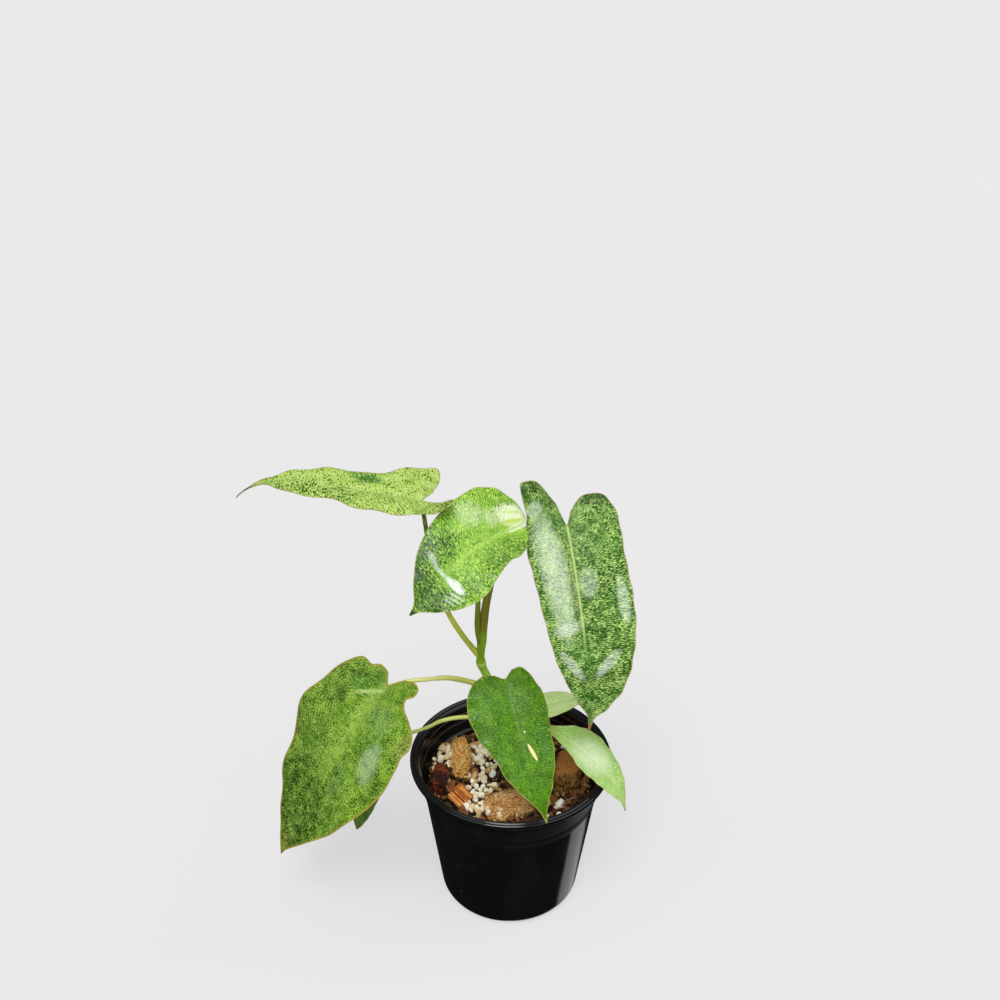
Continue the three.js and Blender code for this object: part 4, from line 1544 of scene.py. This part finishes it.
@dataclass(frozen=True)
class Key:
    """A far round lamp: its azimuth from +Y to +X, height and apparent width in degrees."""

    turn: float
    rise: float
    width: float
    power: float
    colour: Point = (1.0, 0.99, 0.96)
    distance: float = 2.0

    def build(self) -> None:
        """Hangs the lamp."""
        data = bpy.data.lights.new("key", "SUN")
        data.angle = math.radians(self.width)
        data.energy = self.power
        data.color = self.colour
        lamp = bpy.data.objects.new("key", data)
        turn, rise = math.radians(self.turn), math.radians(self.rise)
        toward = Vector((math.sin(turn) * math.cos(rise), math.cos(turn) * math.cos(rise), math.sin(rise)))
        lamp.location = toward * self.distance
        lamp.rotation_mode = "QUATERNION"
        lamp.rotation_quaternion = toward.to_track_quat("Z", "Y")
        bpy.context.scene.collection.objects.link(lamp)


@dataclass(frozen=True)
class Studio:
    """Pale floor, soft light and the camera at the photograph's angle."""

    eye: Point = (0.0, -0.67614, 0.70100)
    pitch: float = 30.77
    yaw: float = -0.676
    roll: float = 0.35
    focal_pixels: float = 1371.0
    frame_pixels: float = 1000.0
    sensor: float = 36.0
    clip: Pair = (0.02, 60.0)
    floor_reach: float = 9.0
    floor_drop: float = 0.2
    strength: float = 0.62
    ambient: float = 0.25
    dark: float = 0.02
    blueness: float = 1.03
    glows: tuple[Glow, ...] = (
        Glow((55, 150), (20, 58), 8, 2.2), Glow((-180, 180), (62, 95), 8, 1.1), Glow((-170, -90), (30, 68), 12, 1.1),
        Glow((-5, 67), (-95, -49), 1.5, 0.95)
    )
    key: Key = Key(-172, 60, 28, 2.0)

    def camera(self) -> None:
        """Sets the camera up."""
        pitch, yaw, roll = (math.radians(a) for a in (self.pitch, self.yaw, self.roll))
        ahead = Vector((math.sin(yaw) * math.cos(pitch), math.cos(yaw) * math.cos(pitch), -math.sin(pitch)))
        level = Vector((math.cos(yaw), -math.sin(yaw), 0))
        above = level.cross(ahead)
        right = level * math.cos(roll) + above * math.sin(roll)
        up = above * math.cos(roll) - level * math.sin(roll)
        data = bpy.data.cameras.new("camera")
        data.sensor_width = self.sensor
        data.lens = self.focal_pixels / self.frame_pixels * self.sensor
        data.clip_start, data.clip_end = self.clip
        camera = bpy.data.objects.new("camera", data)
        turn = Matrix((right, up, -ahead)).transposed().to_4x4()
        camera.matrix_world = Matrix.Translation(self.eye) @ turn
        bpy.context.scene.collection.objects.link(camera)
        bpy.context.scene.camera = camera

    def surroundings(self) -> None:
        """The room's light: a wide window on the right, a pale ceiling and dark surroundings below."""
        world = bpy.data.worlds.new("room")
        world.use_nodes = True
        room = Graph(world.node_tree)
        x, y, height = room.parts(room.node("ShaderNodeTexCoord", output="Generated"))
        turn = x.arctangent(y) * (180 / math.pi)
        rise = height.arcsine() * (180 / math.pi)
        above = rise.rise(-2.0, 2.0)
        level = above * self.ambient + self.dark
        for glow in self.glows:
            level = level + turn.between(glow.turn, glow.soft) * rise.between(glow.rise, glow.soft) * glow.level
        shade = room.node("ShaderNodeCombineXYZ", {0: level, 1: level, 2: level * self.blueness})
        light = room.node("ShaderNodeBackground", {"Color": shade, "Strength": self.strength})
        room.node("ShaderNodeOutputWorld", {"Surface": light})
        bpy.context.scene.world = world

    def floor(self) -> None:
        """A wide pale floor."""
        reach = self.floor_reach / MM
        corners = np.array([(-reach, -reach, 0), (reach, -reach, 0), (reach, reach, 0), (-reach, reach, 0)])
        plane = add_piece("floor", corners - [0, 0, self.floor_drop], [(0, 1, 2, 3)])
        plane.data.materials.append(FloorFinish().material())
        plane.visible_glossy = False

    def build(self) -> None:
        """Sets the studio up."""
        self.camera()
        self.surroundings()
        self.floor()
        self.key.build()
        bpy.context.scene.view_settings.view_transform = "Standard"


# The plant's own pieces


@dataclass(frozen=True)
class Leaf:
    """A blade and the petiole that carries it."""

    blade: Blade
    petiole: Stalk
    drop: float = 1.0

    def build(self, tree: ShapeTree) -> None:
        """Makes the petiole, up to a drop under the base of its blade, and the blade.

        Args:
            tree: the sweeping tree.
        """
        side, start, _ = self.blade.directions()
        end = np.array(self.blade.base) - np.cross(side, start) * self.drop
        replace(self.petiole, path=(*self.petiole.path, tuple(end))).build(tree)
        self.blade.build()


def stem() -> Stalk:
    """The short leaning stem with its node rings."""
    finish = StalkFinish(
        name="stem_green", foot=0x98C43A, top=0x86B010, blush=0xB4DA50, ridge=0xC8E478, ridge_highlight_at=0.3, ridge_highlight_show=0.35,
        gloss=0.36, rings=(0.68, 0.87), change=(0.83, 0.91), change_mottle=0.04
    )
    return Stalk(
        node="stem", slot="stem_green", finish=finish, radii=(3.6, 2.3),
        path=(
            (2, 11, 48), (-1, 12, 88), (-5, 13, 112), (-11, 14, 138), (-15.5, 14, 159), (-19.5, 14, 171),
            (-19, 14, 189)
        ),
        taper=1.0, flare=0.7, ring_height=0.75, ring_width=0.022, rings=(0.42, 0.55, 0.68, 0.87), steps=180, sides=28
    )


def upper_left_leaf() -> Leaf:
    """The uppermost leaf, which points left and is seen almost edge on."""
    finish = LeafFinish(
        name="upper_left", ground=0xB0CE60, deep=0x9ABF48, fleck=0x254E0E, cover=(0.15, 0.24), pale=0xCFE39B,
        pale_cover=(0.2, 0.2), midrib=0xBBD487, margin=0xA98F5E, tip=0x3E2A18, under=0x9DB97A, midrib_show=0.2,
        tip_share=0.86, fleck_size=(2.0, 1.0), grain_show=0.15,
        stains_and_painted_light=(
            Mark((13, 32), (5, 9), 0, 0x4F8A2A, 0.8, 0.6), Mark((6, -4), (12, 9), 0, 0xC0D070, 0.4, 0.8),
            Mark((5, 95), (9, 8), 0, 0xA89C40, 0.85, 0.6, 0.2), Mark((-20, -14), (6, 5), 0, 0x9C9440, 0.5, 0.8, 0.3),
            Mark((12, 31), (4.5, 6), 0, 0x3A7A1C, 0.8, 0.6, 0.1)
        ),
        growths=(Mark((-9, 60), (9, 26), 0, None, 0.45, 0.8, 0.1),), fleck_show=1.0, patchy=0.3, shine=0.28
    )
    blade = Blade(
        name="upper_left", slot="leaf_light", finish=finish, base=(-54, 11, 291), tip=(-163, 16, 289), roll=-5, rise=5,
        droop=48, bend=0, fold=0.22, curl=0.3, half_width=27, wave=(1.6, 2.4, 0.1), lobe_lift=(0, 30),
        right=((7, -6), (19, -9), (29, -6), (28, 8), (20, 26), (16, 42), (11, 62), (5, 82), (1.4, 97), (0.5, 110)),
        left=(
            (5, -11), (11, -18), (20, -19), (22, -11), (18, 0), (19, 18), (20, 34), (15, 50), (15, 64), (9, 77),
            (2, 90), (0.5, 110)
        ),
        seed=1,
        dents=(Dent((14, 32), (5, 8), 0, -2.2), Dent((-9, 20), (9, 12), 0, 1.4), Dent((2, 64), (8, 12), 0, 0.9)),
        ruffle=(0.7, 7)
    )
    skin = StalkFinish("petiole_upper_left", 0xD2DA4C, 0x5E6A14, 0xDDE080, 0xE6E27C)
    return Leaf(
        blade,
        Stalk(
            "petiole_upper_left", "petiole_pale", skin, (1.9, 1.3),
            ((-19.5, 14, 174), (-30, 14, 190), (-39, 14, 207), (-46, 15, 226), (-50, 14, 248), (-52, 13, 271))
        )
    )


def right_leaf() -> Leaf:
    """The long dark leaf that hangs down on the right, with painted glares and sheens."""
    finish = LeafFinish(
        name="right", ground=0x246608, deep=0x1A5204, fleck=0x143F08, cover=(0.3, 0.2), pale=0xBDDE7C,
        pale_cover=(0.34, 0.42), midrib=0xB8D880, margin=0xB79A72, tip=0xA9743C, under=0x86A66A, midrib_width=1.2,
        gloss=0.34, tip_share=0.94, pale_show=1.0, grain_show=0.5,
        stains_and_painted_light=(
            # A pale ground under the flecks for the painted sheen on the left half.
            Mark((14, 26), (9, 36), 4, 0xA4C494, 0.8, 0.8, 0.3),
            Mark((2.0, 30), (0.8, 26), 0, 0xB9A088, 0.6, 0.5, 0.2),
            Mark((-15, 33), (8, 5), -20, 0x1C5410, 0.85, 0.6, 0.3),
            Mark((-14, 8), (14, 16), 0, 0x2B6C12, 0.7, 0.8, 0.3),
            Mark((-20, -13), (11, 4), 0, 0x1C4616, 1.0, 0.5, 0.1), Mark((20, -26), (7, 4), 0, 0x1C4616, 1.0, 0.5, 0.1),
            Mark((2, 68), (12, 7), 0, 0x2E7020, 0.8, 0.7, 0.3), Mark((5, -16), (1.6, 6), -30, 0x4A3A20, 0.8, 0.5, 0.2),
            Mark((-12, -8), (1.2, 7), 70, 0xA6C884, 0.5, 0.6, 0.3)
        ),
        growths=(Mark((-20, -13), (11, 4), 0, None, 0.8, 0.5, 0.1), Mark((20, -26), (7, 4), 0, None, 0.8, 0.5, 0.1)),
        # Painted sheens and glares: a band on the left half, arcs near the tip and patches by the lobes.
        painted_sheens_and_pale_marks=(
            Mark((14, 26), (8, 34), 4, 0xE2EADC, 0.42, 0.9, 0.7),
            Mark((11, 57), (10, 3.4), 6, 0xE2EADC, 0.5, 0.8, 0.6),
            Mark((-11, 79), (9, 2.8), 43, 0xE6EEE0, 0.55, 0.8, 0.7),
            Mark((11, 78), (11, 3.0), -49, 0xE6EEE0, 0.5, 0.8, 0.7),
            Mark((19, -13), (5, 4), 20, 0xD4E4D0, 0.45, 0.7, 0.7),
            Mark((-24, 46), (3.4, 12), 0, 0xD4E4D0, 0.5, 0.7, 0.6), Mark((-6, 34), (5, 8), 0, 0xCFE0CC, 0.4, 0.7, 0.7)
        ),
        fleck_size=(2.0, 0.55), shine=0.14, patchy=0.25, midrib_fade=(0.62, 0.42), fleck_show=1.0
    )
    blade = Blade(
        name="right", slot="leaf_dark", finish=finish, base=(32, 21, 268), tip=(47, -34, 157), roll=0, rise=20,
        droop=38, bend=-6, fold=0.2, curl=0.3, half_width=30, wave=(0.8, 2.6, 0.6), lobe_lift=(24, 0),
        right=(
            (3, -15), (10, -25), (17, -29), (24, -28.5), (24, -12), (28, 6), (28, 34), (26, 54), (22, 76), (11, 100),
            (3, 112), (0.5, 125)
        ),
        left=(
            (5, -9), (14, -16), (27, -14), (32, -4), (30, 22), (30, 44), (27, 70), (20, 93), (9, 108), (2, 115),
            (0.5, 125)
        ),
        seed=2, vein_depth=0.26,
        dents=(
            Dent((13, 25), (9, 26), 0, 1.5), Dent((-14, 25), (9, 26), 0, 1.3), Dent((0, 82), (18, 7), 0, 1.0),
            Dent((0, 68), (16, 6), 0, -0.7)
        ),
        ruffle=(0.9, 12), sway=4.0
    )
    skin = StalkFinish(
        "petiole_right", 0x86B010, 0x86801E, 0x74601E, 0xC8C848, 0.75, ridge_highlight_show=0.8, change=(0.02, 0.14),
        change_mottle=0.05
    )
    return Leaf(
        blade,
        Stalk(
            "petiole_right", "petiole_olive", skin, (3.0, 1.5),
            (
                (-19, 14, 187.5), (-18, 14, 201), (-15, 13, 224), (-10, 18, 242), (-1, 23, 255), (8, 27, 262),
                (20, 28, 267)
            )
        )
    )


def centre_leaf() -> Leaf:
    """The bright leaf in the middle, with a white patch of painted glare beside its base."""
    finish = LeafFinish(
        name="centre", ground=0x86BA2C, deep=0x6EA822, fleck=0x174202, cover=(0.13, 0.28), pale=0xC8E870,
        pale_cover=(0.3, 0.36), midrib=0xB4D860, margin=0xA7B56A, tip=0x3C4416, under=0x93B56C, midrib_width=2.4,
        midrib_show=0.5, grain_show=0.55,
        stains_and_painted_light=(
            Mark((-13, 7), (9, 15), 0, 0x4A7E1E, 1.0, 0.6, 0.2), Mark((0, 56), (24, 14), 0, 0x5F9A22, 0.7, 0.6),
            # The near-white marks at the base, at (8, -12) and (-0.4, -10), are painted glare on the lobes.
            Mark((6, 24), (16, 20), 0, 0x7DB53C, 0.6, 0.8), Mark((8, -12), (7, 12), -15, 0xF0F5DC, 0.9, 0.6, 0.15),
            Mark((-0.4, -10), (2.0, 8), 0, 0xF0F5DC, 0.9, 0.5, 0.1),
            Mark((4.2, -11), (1.3, 9), -10, 0xBCC83A, 0.85, 0.5, 0.1),
            Mark((9.5, -13), (0.9, 7), -18, 0xC6D660, 0.6, 0.5, 0.1),
            Mark((12, 0), (4, 8), -15, 0xD4E6A8, 0.5, 0.8, 0.5),
            Mark((14, 46), (10, 16), -14, 0x4E8A1C, 0.7, 0.7, 0.2),
            Mark((-6, 54), (10, 4), 0, 0x3F7C14, 0.8, 0.6, 0.2),
            Mark((1.5, 16), (0.8, 0.8), 0, 0x6A5A28, 0.6, 0.5, 0.0),
            Mark((-1, 27), (0.8, 0.8), 0, 0x6A5A28, 0.6, 0.5, 0.0)
        ),
        growths=(
            # The first thins the flecks under the painted glare at the base.
            Mark((5, -11), (8, 11), 0, None, -1.2, 0.6, 0.0), Mark((-12, 6), (8, 9), 0, None, -0.5, 0.6, 0.0),
            Mark((15, 44), (10, 18), -14, None, 0.9, 0.7, 0.2), Mark((16, 14), (12, 16), 0, None, -0.25, 0.7, 0.0),
            Mark((2, 60), (18, 9), 0, None, 1.2, 0.7, 0.2), Mark((-16, 30), (5, 24), 0, None, 0.35, 0.8, 0.3)
        ),
        # Painted sheens and glare streaks over the blade.
        painted_sheens_and_pale_marks=(
            Mark((19, 13), (8, 7), 10, 0xEEF3DC, 0.3, 0.95, 0.5), Mark((9, 4), (4, 3), 10, 0xEEF3DC, 0.3, 0.9, 0.6),
            Mark((-9.5, 45.5), (6.5, 2.5), 0, 0xF4F8FF, 0.85, 0.7, 0.6),
            Mark((1, 45.5), (7, 1.1), 0, 0xF4F8FF, 0.5, 0.8, 0.8),
            Mark((11, 43.5), (4.5, 1.5), -12, 0xF4F8FF, 0.45, 0.8, 0.8),
            Mark((-14, 49.5), (5, 0.6), 12, 0xF4F8FF, 0.6, 0.6, 0.4),
            Mark((-14, 52), (5, 0.6), 12, 0xF4F8FF, 0.5, 0.6, 0.4),
            Mark((-13, 54.5), (4, 0.6), 12, 0xF4F8FF, 0.4, 0.6, 0.4)
        ),
        fleck_show=1.0, fleck_size=(1.9, 0.66), shine=0.25, patchy=0.2, midrib_fade=(0.72, 0.4), tip_share=0.93
    )
    blade = Blade(
        name="centre", slot="leaf_mottled", finish=finish, base=(-6, -1, 277), tip=(-58, -46, 249), roll=-34, rise=28,
        droop=22, bend=10, fold=0.3, curl=0.3, half_width=30, wave=(0.8, 2.2, 0.3),
        right=(
            (0.4, -19), (4, -22), (12, -21), (21, -17), (29, -7), (31, 8), (28, 28), (21, 45), (10, 59), (2, 68),
            (0.5, 74)
        ),
        left=(
            (0.2, -16), (3, -16.5), (7, -14.5), (12, -9), (16.5, -3), (18.5, 3.5), (18, 9), (19, 15), (22, 25),
            (25, 37), (22, 50), (13, 62), (3, 70), (0.5, 74)
        ),
        seed=3, vein_depth=0.26,
        dents=(
            Dent((-10, 47), (12, 5), 0, 1.3), Dent((10, 42), (9, 5), 0, 1.0), Dent((-12, 15), (8, 10), 0, -1.4),
            Dent((13, 15), (8, 13), 0, 1.0)
        ),
        ruffle=(0.6, 8)
    )
    skin = StalkFinish("petiole_centre", 0x7C8A12, 0x8E9A2C, 0xA0AC3A, 0xC0CA4C, 0.1)
    return Leaf(
        blade,
        Stalk(
            "petiole_centre", "petiole_olive", skin, (1.9, 1.2),
            ((-20, 13, 187), (-21.6, 12, 199), (-21.3, 12, 215), (-20.6, 9, 237), (-16, 5, 257))
        )
    )


def lower_left_leaf() -> Leaf:
    """The largest leaf, which hangs down beside the pot."""
    finish = LeafFinish(
        name="lower_left", ground=0x76A424, deep=0x5A8A18, fleck=0x123404, cover=(0.16, 0.3), pale=0xB4D060,
        pale_cover=(0.22, 0.22), midrib=0x9CC062, margin=0xA8963C, tip=0x8A7A3A, under=0x86A468, midrib_show=0.15,
        gloss=0.38, grain_show=0.45,
        stains_and_painted_light=(
            # Painted shade in the hollow by the notch, along its fold and below it, and a painted highlight on the
            # ridge beside it.
            Mark((13, 8.5), (15, 6.5), 35, 0x3A7418, 1.0, 0.25, 0.0),
            Mark((21, 8), (9, 1.5), 30, 0x1F480A, 0.9, 0.5, 0.1), Mark((22, 25), (5, 4), 0, 0x2F6014, 0.8, 0.6, 0.1),
            Mark((6.5, 11), (11, 1.5), 42, 0xC2D88A, 0.8, 0.6, 0.1),
            Mark((0, 38), (6, 34), 4, 0x9CC04A, 0.75, 0.9, 0.3), Mark((-14, 17), (10, 9), 0, 0x7DA45A, 0.7, 0.9, 0.3),
            Mark((20, 58), (13, 9), 30, 0x44781A, 0.75, 0.9, 0.3), Mark((-19, 36), (8, 6), 0, 0x447A1C, 0.6, 0.9, 0.3),
            Mark((-14, 66), (6, 14), 10, 0x5A8640, 0.7, 0.9, 0.3), Mark((24, 90), (9, 8), 0, 0x3F7024, 0.6, 0.9, 0.3),
            Mark((-5, 112), (5, 12), 0, 0x3A6A1C, 0.7, 0.9, 0.3), Mark((-10, 92), (8, 6), 20, 0x3F7224, 0.6, 0.9, 0.3),
            Mark((36, 70), (4, 8), 0, 0x7A6428, 0.6, 0.8, 0.3), Mark((-38, 16), (5, 9), 0, 0x8A7A34, 0.6, 0.8, 0.4),
            Mark((0, 138), (8, 10), 0, 0xA0903C, 0.7, 0.8, 0.3)
        ),
        growths=(
            # The first thins the flecks in the painted shade of the hollow.
            Mark((13, 8.5), (15, 6.5), 35, None, -1.5, 0.25, 0.0), Mark((5, 105), (26, 34), 0, None, 0.8, 0.8, 0.1)
        ),
        # A painted sheen on the left half.
        painted_sheens_and_pale_marks=(Mark((-27, 40), (7, 12), 10, 0xB9CCB0, 0.4, 0.9, 0.3),), shine=0.25, fleck_show=1.0,
        fleck_size=(1.5, 0.85), midrib_width=3.0, margin_width=1.9, vein_show=0.2, patchy=0.3,
        # Creases with painted shade in their grooves and painted light on their crests.
        creases=(Creases((3, 32), 18, 68, 2.2, 1, 0.85),)
    )
    blade = Blade(
        name="lower_left", slot="leaf_green", finish=finish, base=(-76, -12, 172), tip=(-149, -28, 45), roll=-27,
        rise=20, droop=18, bend=-3, fold=0.2, curl=0.3, half_width=42, wave=(1.6, 3.2, 0.2),
        right=(
            (6, -6), (13, -6), (18, -2), (26, -1), (35, 11), (43, 34), (45, 57), (36, 72), (32, 88), (19, 112),
            (5, 138), (0.5, 147)
        ),
        left=(
            (7, -10), (14, -14), (20, -13), (21, -8), (18, -3), (21, 1), (30, 4), (38, 9), (42, 16), (42, 21),
            (45, 28), (46, 42), (41, 68), (31, 93), (16, 118), (3, 140), (0.5, 147)
        ),
        seed=4, veins=34, vein_depth=0.3, rows=340, columns=44,
        dents=(
            Dent((14, 8), (12, 6), 35, -2.6), Dent((7, 12), (12, 3), 42, 0.9), Dent((3, 2), (3, 8), -10, 1.2),
            Dent((-20, 82), (9, 8), 0, -1.0), Dent((-30, 42), (10, 9), 0, 1.2), Dent((20, 60), (12, 14), 30, 1.2),
            Dent((8, 92), (9, 9), 0, -0.9)
        ),
        ruffle=(0.5, 7)
    )
    skin = StalkFinish("petiole_lower_left", 0xC6CC58, 0xD4D884, 0xD8B498, 0xECF0AC, 0.25)
    return Leaf(
        blade,
        Stalk(
            "petiole_lower_left", "petiole_pale", skin, (2.1, 1.2),
            ((-13, 14, 147), (-24, 8, 159), (-40, 0, 169), (-52, -6, 172.5), (-64, -9, 173))
        )
    )


def hidden_left_leaf() -> Leaf:
    """The leaf behind the largest one; only its tip shows."""
    finish = LeafFinish(
        name="hidden_left", ground=0x6E9228, deep=0x5A7E1A, fleck=0x34521A, cover=(0.2, 0.2), pale=0x86A85A,
        pale_cover=(0.1, 0.1), midrib=0x8CAE5A, margin=0x90904C, tip=0x7A7038, under=0x7F9A62, gloss=0.42
    )
    blade = Blade(
        name="hidden_left", slot="leaf_dark", finish=finish, base=(-80, 5, 116), tip=(-104, 8, 32), roll=-50, rise=18,
        droop=16, bend=0, fold=0.15, curl=0.25, half_width=17, wave=(0.5, 2, 0.4),
        right=((6, -6), (12, -4), (15, 8), (15, 30), (12, 56), (5, 77), (0.5, 87)),
        left=((6, -6), (12, -4), (15, 9), (15, 32), (12, 58), (5, 78), (0.5, 87)), seed=5, rows=150, columns=24
    )
    skin = StalkFinish("petiole_hidden_left", 0xD2DA6C, 0xD6E080, 0xE0E890, 0xF0F6B0, 0.25)
    return Leaf(
        blade,
        Stalk(
            "petiole_hidden_left", "petiole_pale", skin, (1.6, 1.1),
            ((-8, 13, 124), (-28, 12, 128), (-44, 10, 126.5), (-54, 9, 121.5), (-66, 7, 118))
        )
    )


def front_leaf() -> Leaf:
    """The plain green leaf that hangs over the lip."""
    finish = LeafFinish(
        name="front", ground=0x4F8204, deep=0x437208, fleck=0x2A5506, cover=(0.32, 0.34), pale=0x74A81C,
        pale_cover=(0.28, 0.3), midrib=0x86B050, margin=0xA9A24E, tip=0x9A9A44, under=0x86A468, midrib_show=0.06,
        gloss=0.34, grain_show=0.65, fleck_size=(1.9, 0.6),
        stains_and_painted_light=(Mark((2, 12), (14, 9), 0, 0x6E9C4E, 0.5, 0.8), Mark((-13, 42), (4, 12), 0, 0x3F7434, 0.6, 0.7, 0.5)),
        painted_sheens_and_pale_marks=(
            Mark((-5.4, 45.6), (1.1, 5.6), 14, 0xE4DC9A, 0.95, 0.3, 0.0),
            Mark((-4.2, 33), (0.6, 0.6), 0, 0xE4DC9A, 0.9, 0.4, 0.0)
        ),
        shine=0.2, fleck_show=1.0, pale_show=0.95, vein_show=0.06, patchy=0.25
    )
    blade = Blade(
        name="front", slot="leaf_green", finish=finish, base=(-4, -11, 177), tip=(22, -68, 114), roll=3, rise=11,
        droop=29, bend=10, fold=0.15, curl=0.25, half_width=25, wave=(0.8, 2.2, 0.5),
        right=((7, -3), (14, -3), (23, 4), (27, 17), (24, 33), (18, 44), (16, 53), (9, 67), (2, 80), (0.5, 89)),
        left=((5, -6), (11, -7), (17, 0), (22, 14), (21, 34), (18, 52), (11, 68), (3, 81), (0.5, 89)), seed=6,
        vein_depth=0.1, dents=(Dent((-13, 42), (4, 10), 0, -0.9), Dent((12, 20), (7, 10), 0, 0.9)), ruffle=(0.8, 9)
    )
    skin = StalkFinish("petiole_front", 0xA8B44C, 0xA0B050, 0xC0C870, 0xD0D688, 0.25)
    return Leaf(
        blade, Stalk("petiole_front", "petiole_pale", skin, (1.7, 1.2), ((-10, 14, 134), (-9, 8, 148), (-7, -2, 163)))
    )


def small_back_leaf() -> Leaf:
    """The small pale leaf at the back."""
    finish = LeafFinish(
        name="small_back", ground=0xD2EB98, deep=0xC0E082, fleck=0x9CC660, cover=(0.15, 0.15), pale=0xE6F5C4,
        pale_cover=(0.3, 0.3), midrib=0xBCD68E, margin=0xB5B978, tip=0xA09A5A, under=0x9DB97A
    )
    blade = Blade(
        name="small_back", slot="leaf_light", finish=finish, base=(12, 28, 120), tip=(49, 38, 122), roll=0, rise=14,
        droop=18, bend=0, fold=0.15, curl=0.2, half_width=12, wave=(0.3, 2, 0),
        right=((6, -2), (11, 5), (12, 14), (9, 25), (4, 33), (0.5, 38)),
        left=((6, -2), (11, 5), (12, 15), (10, 26), (5, 33), (0.5, 38)), seed=7, ruffle=(0.15, 3), rows=120,
        columns=22, veins=14
    )
    skin = StalkFinish("petiole_small_back", 0xA8B44C, 0xA8B860, 0xC0C870, 0xD0D688, 0.25)
    return Leaf(blade, Stalk("petiole_small_back", "petiole_pale", skin, (1.3, 0.9), ((-4, 12.5, 104), (3, 19, 113))))


def small_right_leaf() -> Leaf:
    """The small pale leaf at the right."""
    finish = LeafFinish(
        name="small_right", ground=0xA0C468, deep=0x86B244, fleck=0x7FA850, cover=(0.1, 0.1), pale=0xCFE0B4,
        pale_cover=(0.12, 0.12), midrib=0xBCD68E, margin=0xB2B87C, tip=0xA09A5A, under=0x9DB97A, grain_show=0.12,
        stains_and_painted_light=(Mark((0, 3), (4, 7), 0, 0x8CA83C, 0.6, 0.8, 0.3),),
        # A painted sheen across the middle of the blade.
        painted_sheens_and_pale_marks=(Mark((-1, 33), (11, 12), 0, 0xD4E0C8, 0.5, 0.9, 0.15),), gloss=0.34, midrib_show=0.3
    )
    blade = Blade(
        name="small_right", slot="leaf_light", finish=finish, base=(21, -4, 134), tip=(72, -38, 96), roll=0, rise=20,
        droop=38, bend=-10, fold=0.15, curl=0.25, half_width=17, wave=(0.4, 2, 0.3),
        right=((1.6, 0), (4, 8), (8, 20), (13, 32), (12, 43), (8, 56), (2, 66), (0.5, 72)),
        left=((1.6, 0), (6, 7), (14, 16), (18, 27), (15, 41), (9, 55), (2, 67), (0.5, 72)), seed=8, rows=150,
        columns=26, veins=18
    )
    skin = StalkFinish("petiole_small_right", 0xA8B44C, 0xA8B860, 0xC0C870, 0xD0D688, 0.25)
    return Leaf(
        blade,
        Stalk("petiole_small_right", "petiole_pale", skin, (1.4, 0.9), ((-4, 12.5, 108), (4, 8, 122), (13, 1, 131)))
    )


def chunks() -> list[Chunk]:
    """The loose pieces of husk and bark on the mix."""
    husk = ChunkFinish("husk_left", 0xFFB448, 0xFFD88A, 0x6A3610, (0.2, 1, 0.1), 0.5, 0.9, 0.6)
    flat = ChunkFinish("husk_front", 0xD89048, 0xFFD490, 0x552C12, (1, 0.3, 0), 0.8, 0.9, 0.6)
    big = ChunkFinish(
        "husk_right", 0x7A5220, 0xB08444, 0x2A180A, (0.3, 0.2, 1), 0.85, 0.7, 0.7, cap=0xBC7C38, cap_from=98.0
    )
    block = ChunkFinish("husk_block", 0xC46A24, 0xF0A050, 0x3A1004, (0.743, -0.439, -0.505), 0.985, 0.85, 0.9, 0.08)
    red = ChunkFinish("bark_left", 0x300E04, 0x8A3C18, 0x080201, (0.2, 0.4, 1), 0.93, 0.7, 1.0, 0.5)
    brown = ChunkFinish("bark_front", 0x4E2C18, 0x6E4628, 0x1C0E06, (1, 0.2, 0), 0.85, 0.8, 0.7)
    orange = ChunkFinish("bark_back", 0x8A3A18, 0xB4602C, 0x3A1408, (1, 0.3, 0), 0.9, 0.8, 0.7)
    return [
        Chunk("husk_left", "coconut_husk", Form.LUMP, (-33, 14, 92), (6.5, 19, 6.5), (4, 0, -8), husk, 0.22, 20, 1),
        Chunk("bark_left", "pine_bark", Form.BLOCK, (-47, -7, 90), (5.5, 9, 8), (-12, 20, 10), red, 0.10, 0, 2, 0.15),
        Chunk(
            "husk_block", "pine_bark", Form.BLOCK, (-32, -20.5, 90), (6.5, 6, 5.5), (-31, 30, 40), block, 0.03, 0, 3
        ),
        Chunk("husk_front", "coconut_husk", Form.LUMP, (-1, -27, 87), (16, 11, 5), (18, 0, 16), flat, 0.2, 24, 4),
        Chunk("husk_right", "coconut_husk", Form.SLAB, (37, 2, 90), (9, 14, 10), (-10, 6, 8), big, 0.08, 6, 5),
        Chunk("bark_front", "pine_bark", Form.SLAB, (14, -41, 86), (8, 4, 4), (12, 0, 0), brown, 0.10, 0, 6),
        Chunk("bark_back", "pine_bark", Form.SLAB, (29, 41, 91), (6, 3, 5), (-35, 0, -14), orange, 0.10, 0, 7)
    ]


def main() -> None:
    """Builds the studio and every piece of the plant."""
    logging.basicConfig(level=logging.INFO, format="%(name)s %(message)s")
    Studio().build()
    NurseryPot().build()
    PottingMix().build()
    for chunk in chunks():
        chunk.build()
    sweep = stalk_tree()
    stem().build(sweep)
    for leaf in (
        upper_left_leaf, right_leaf, centre_leaf, lower_left_leaf, hidden_left_leaf, front_leaf, small_back_leaf,
        small_right_leaf
    ):
        leaf().build(sweep)


if __name__ == "__main__":
    main()
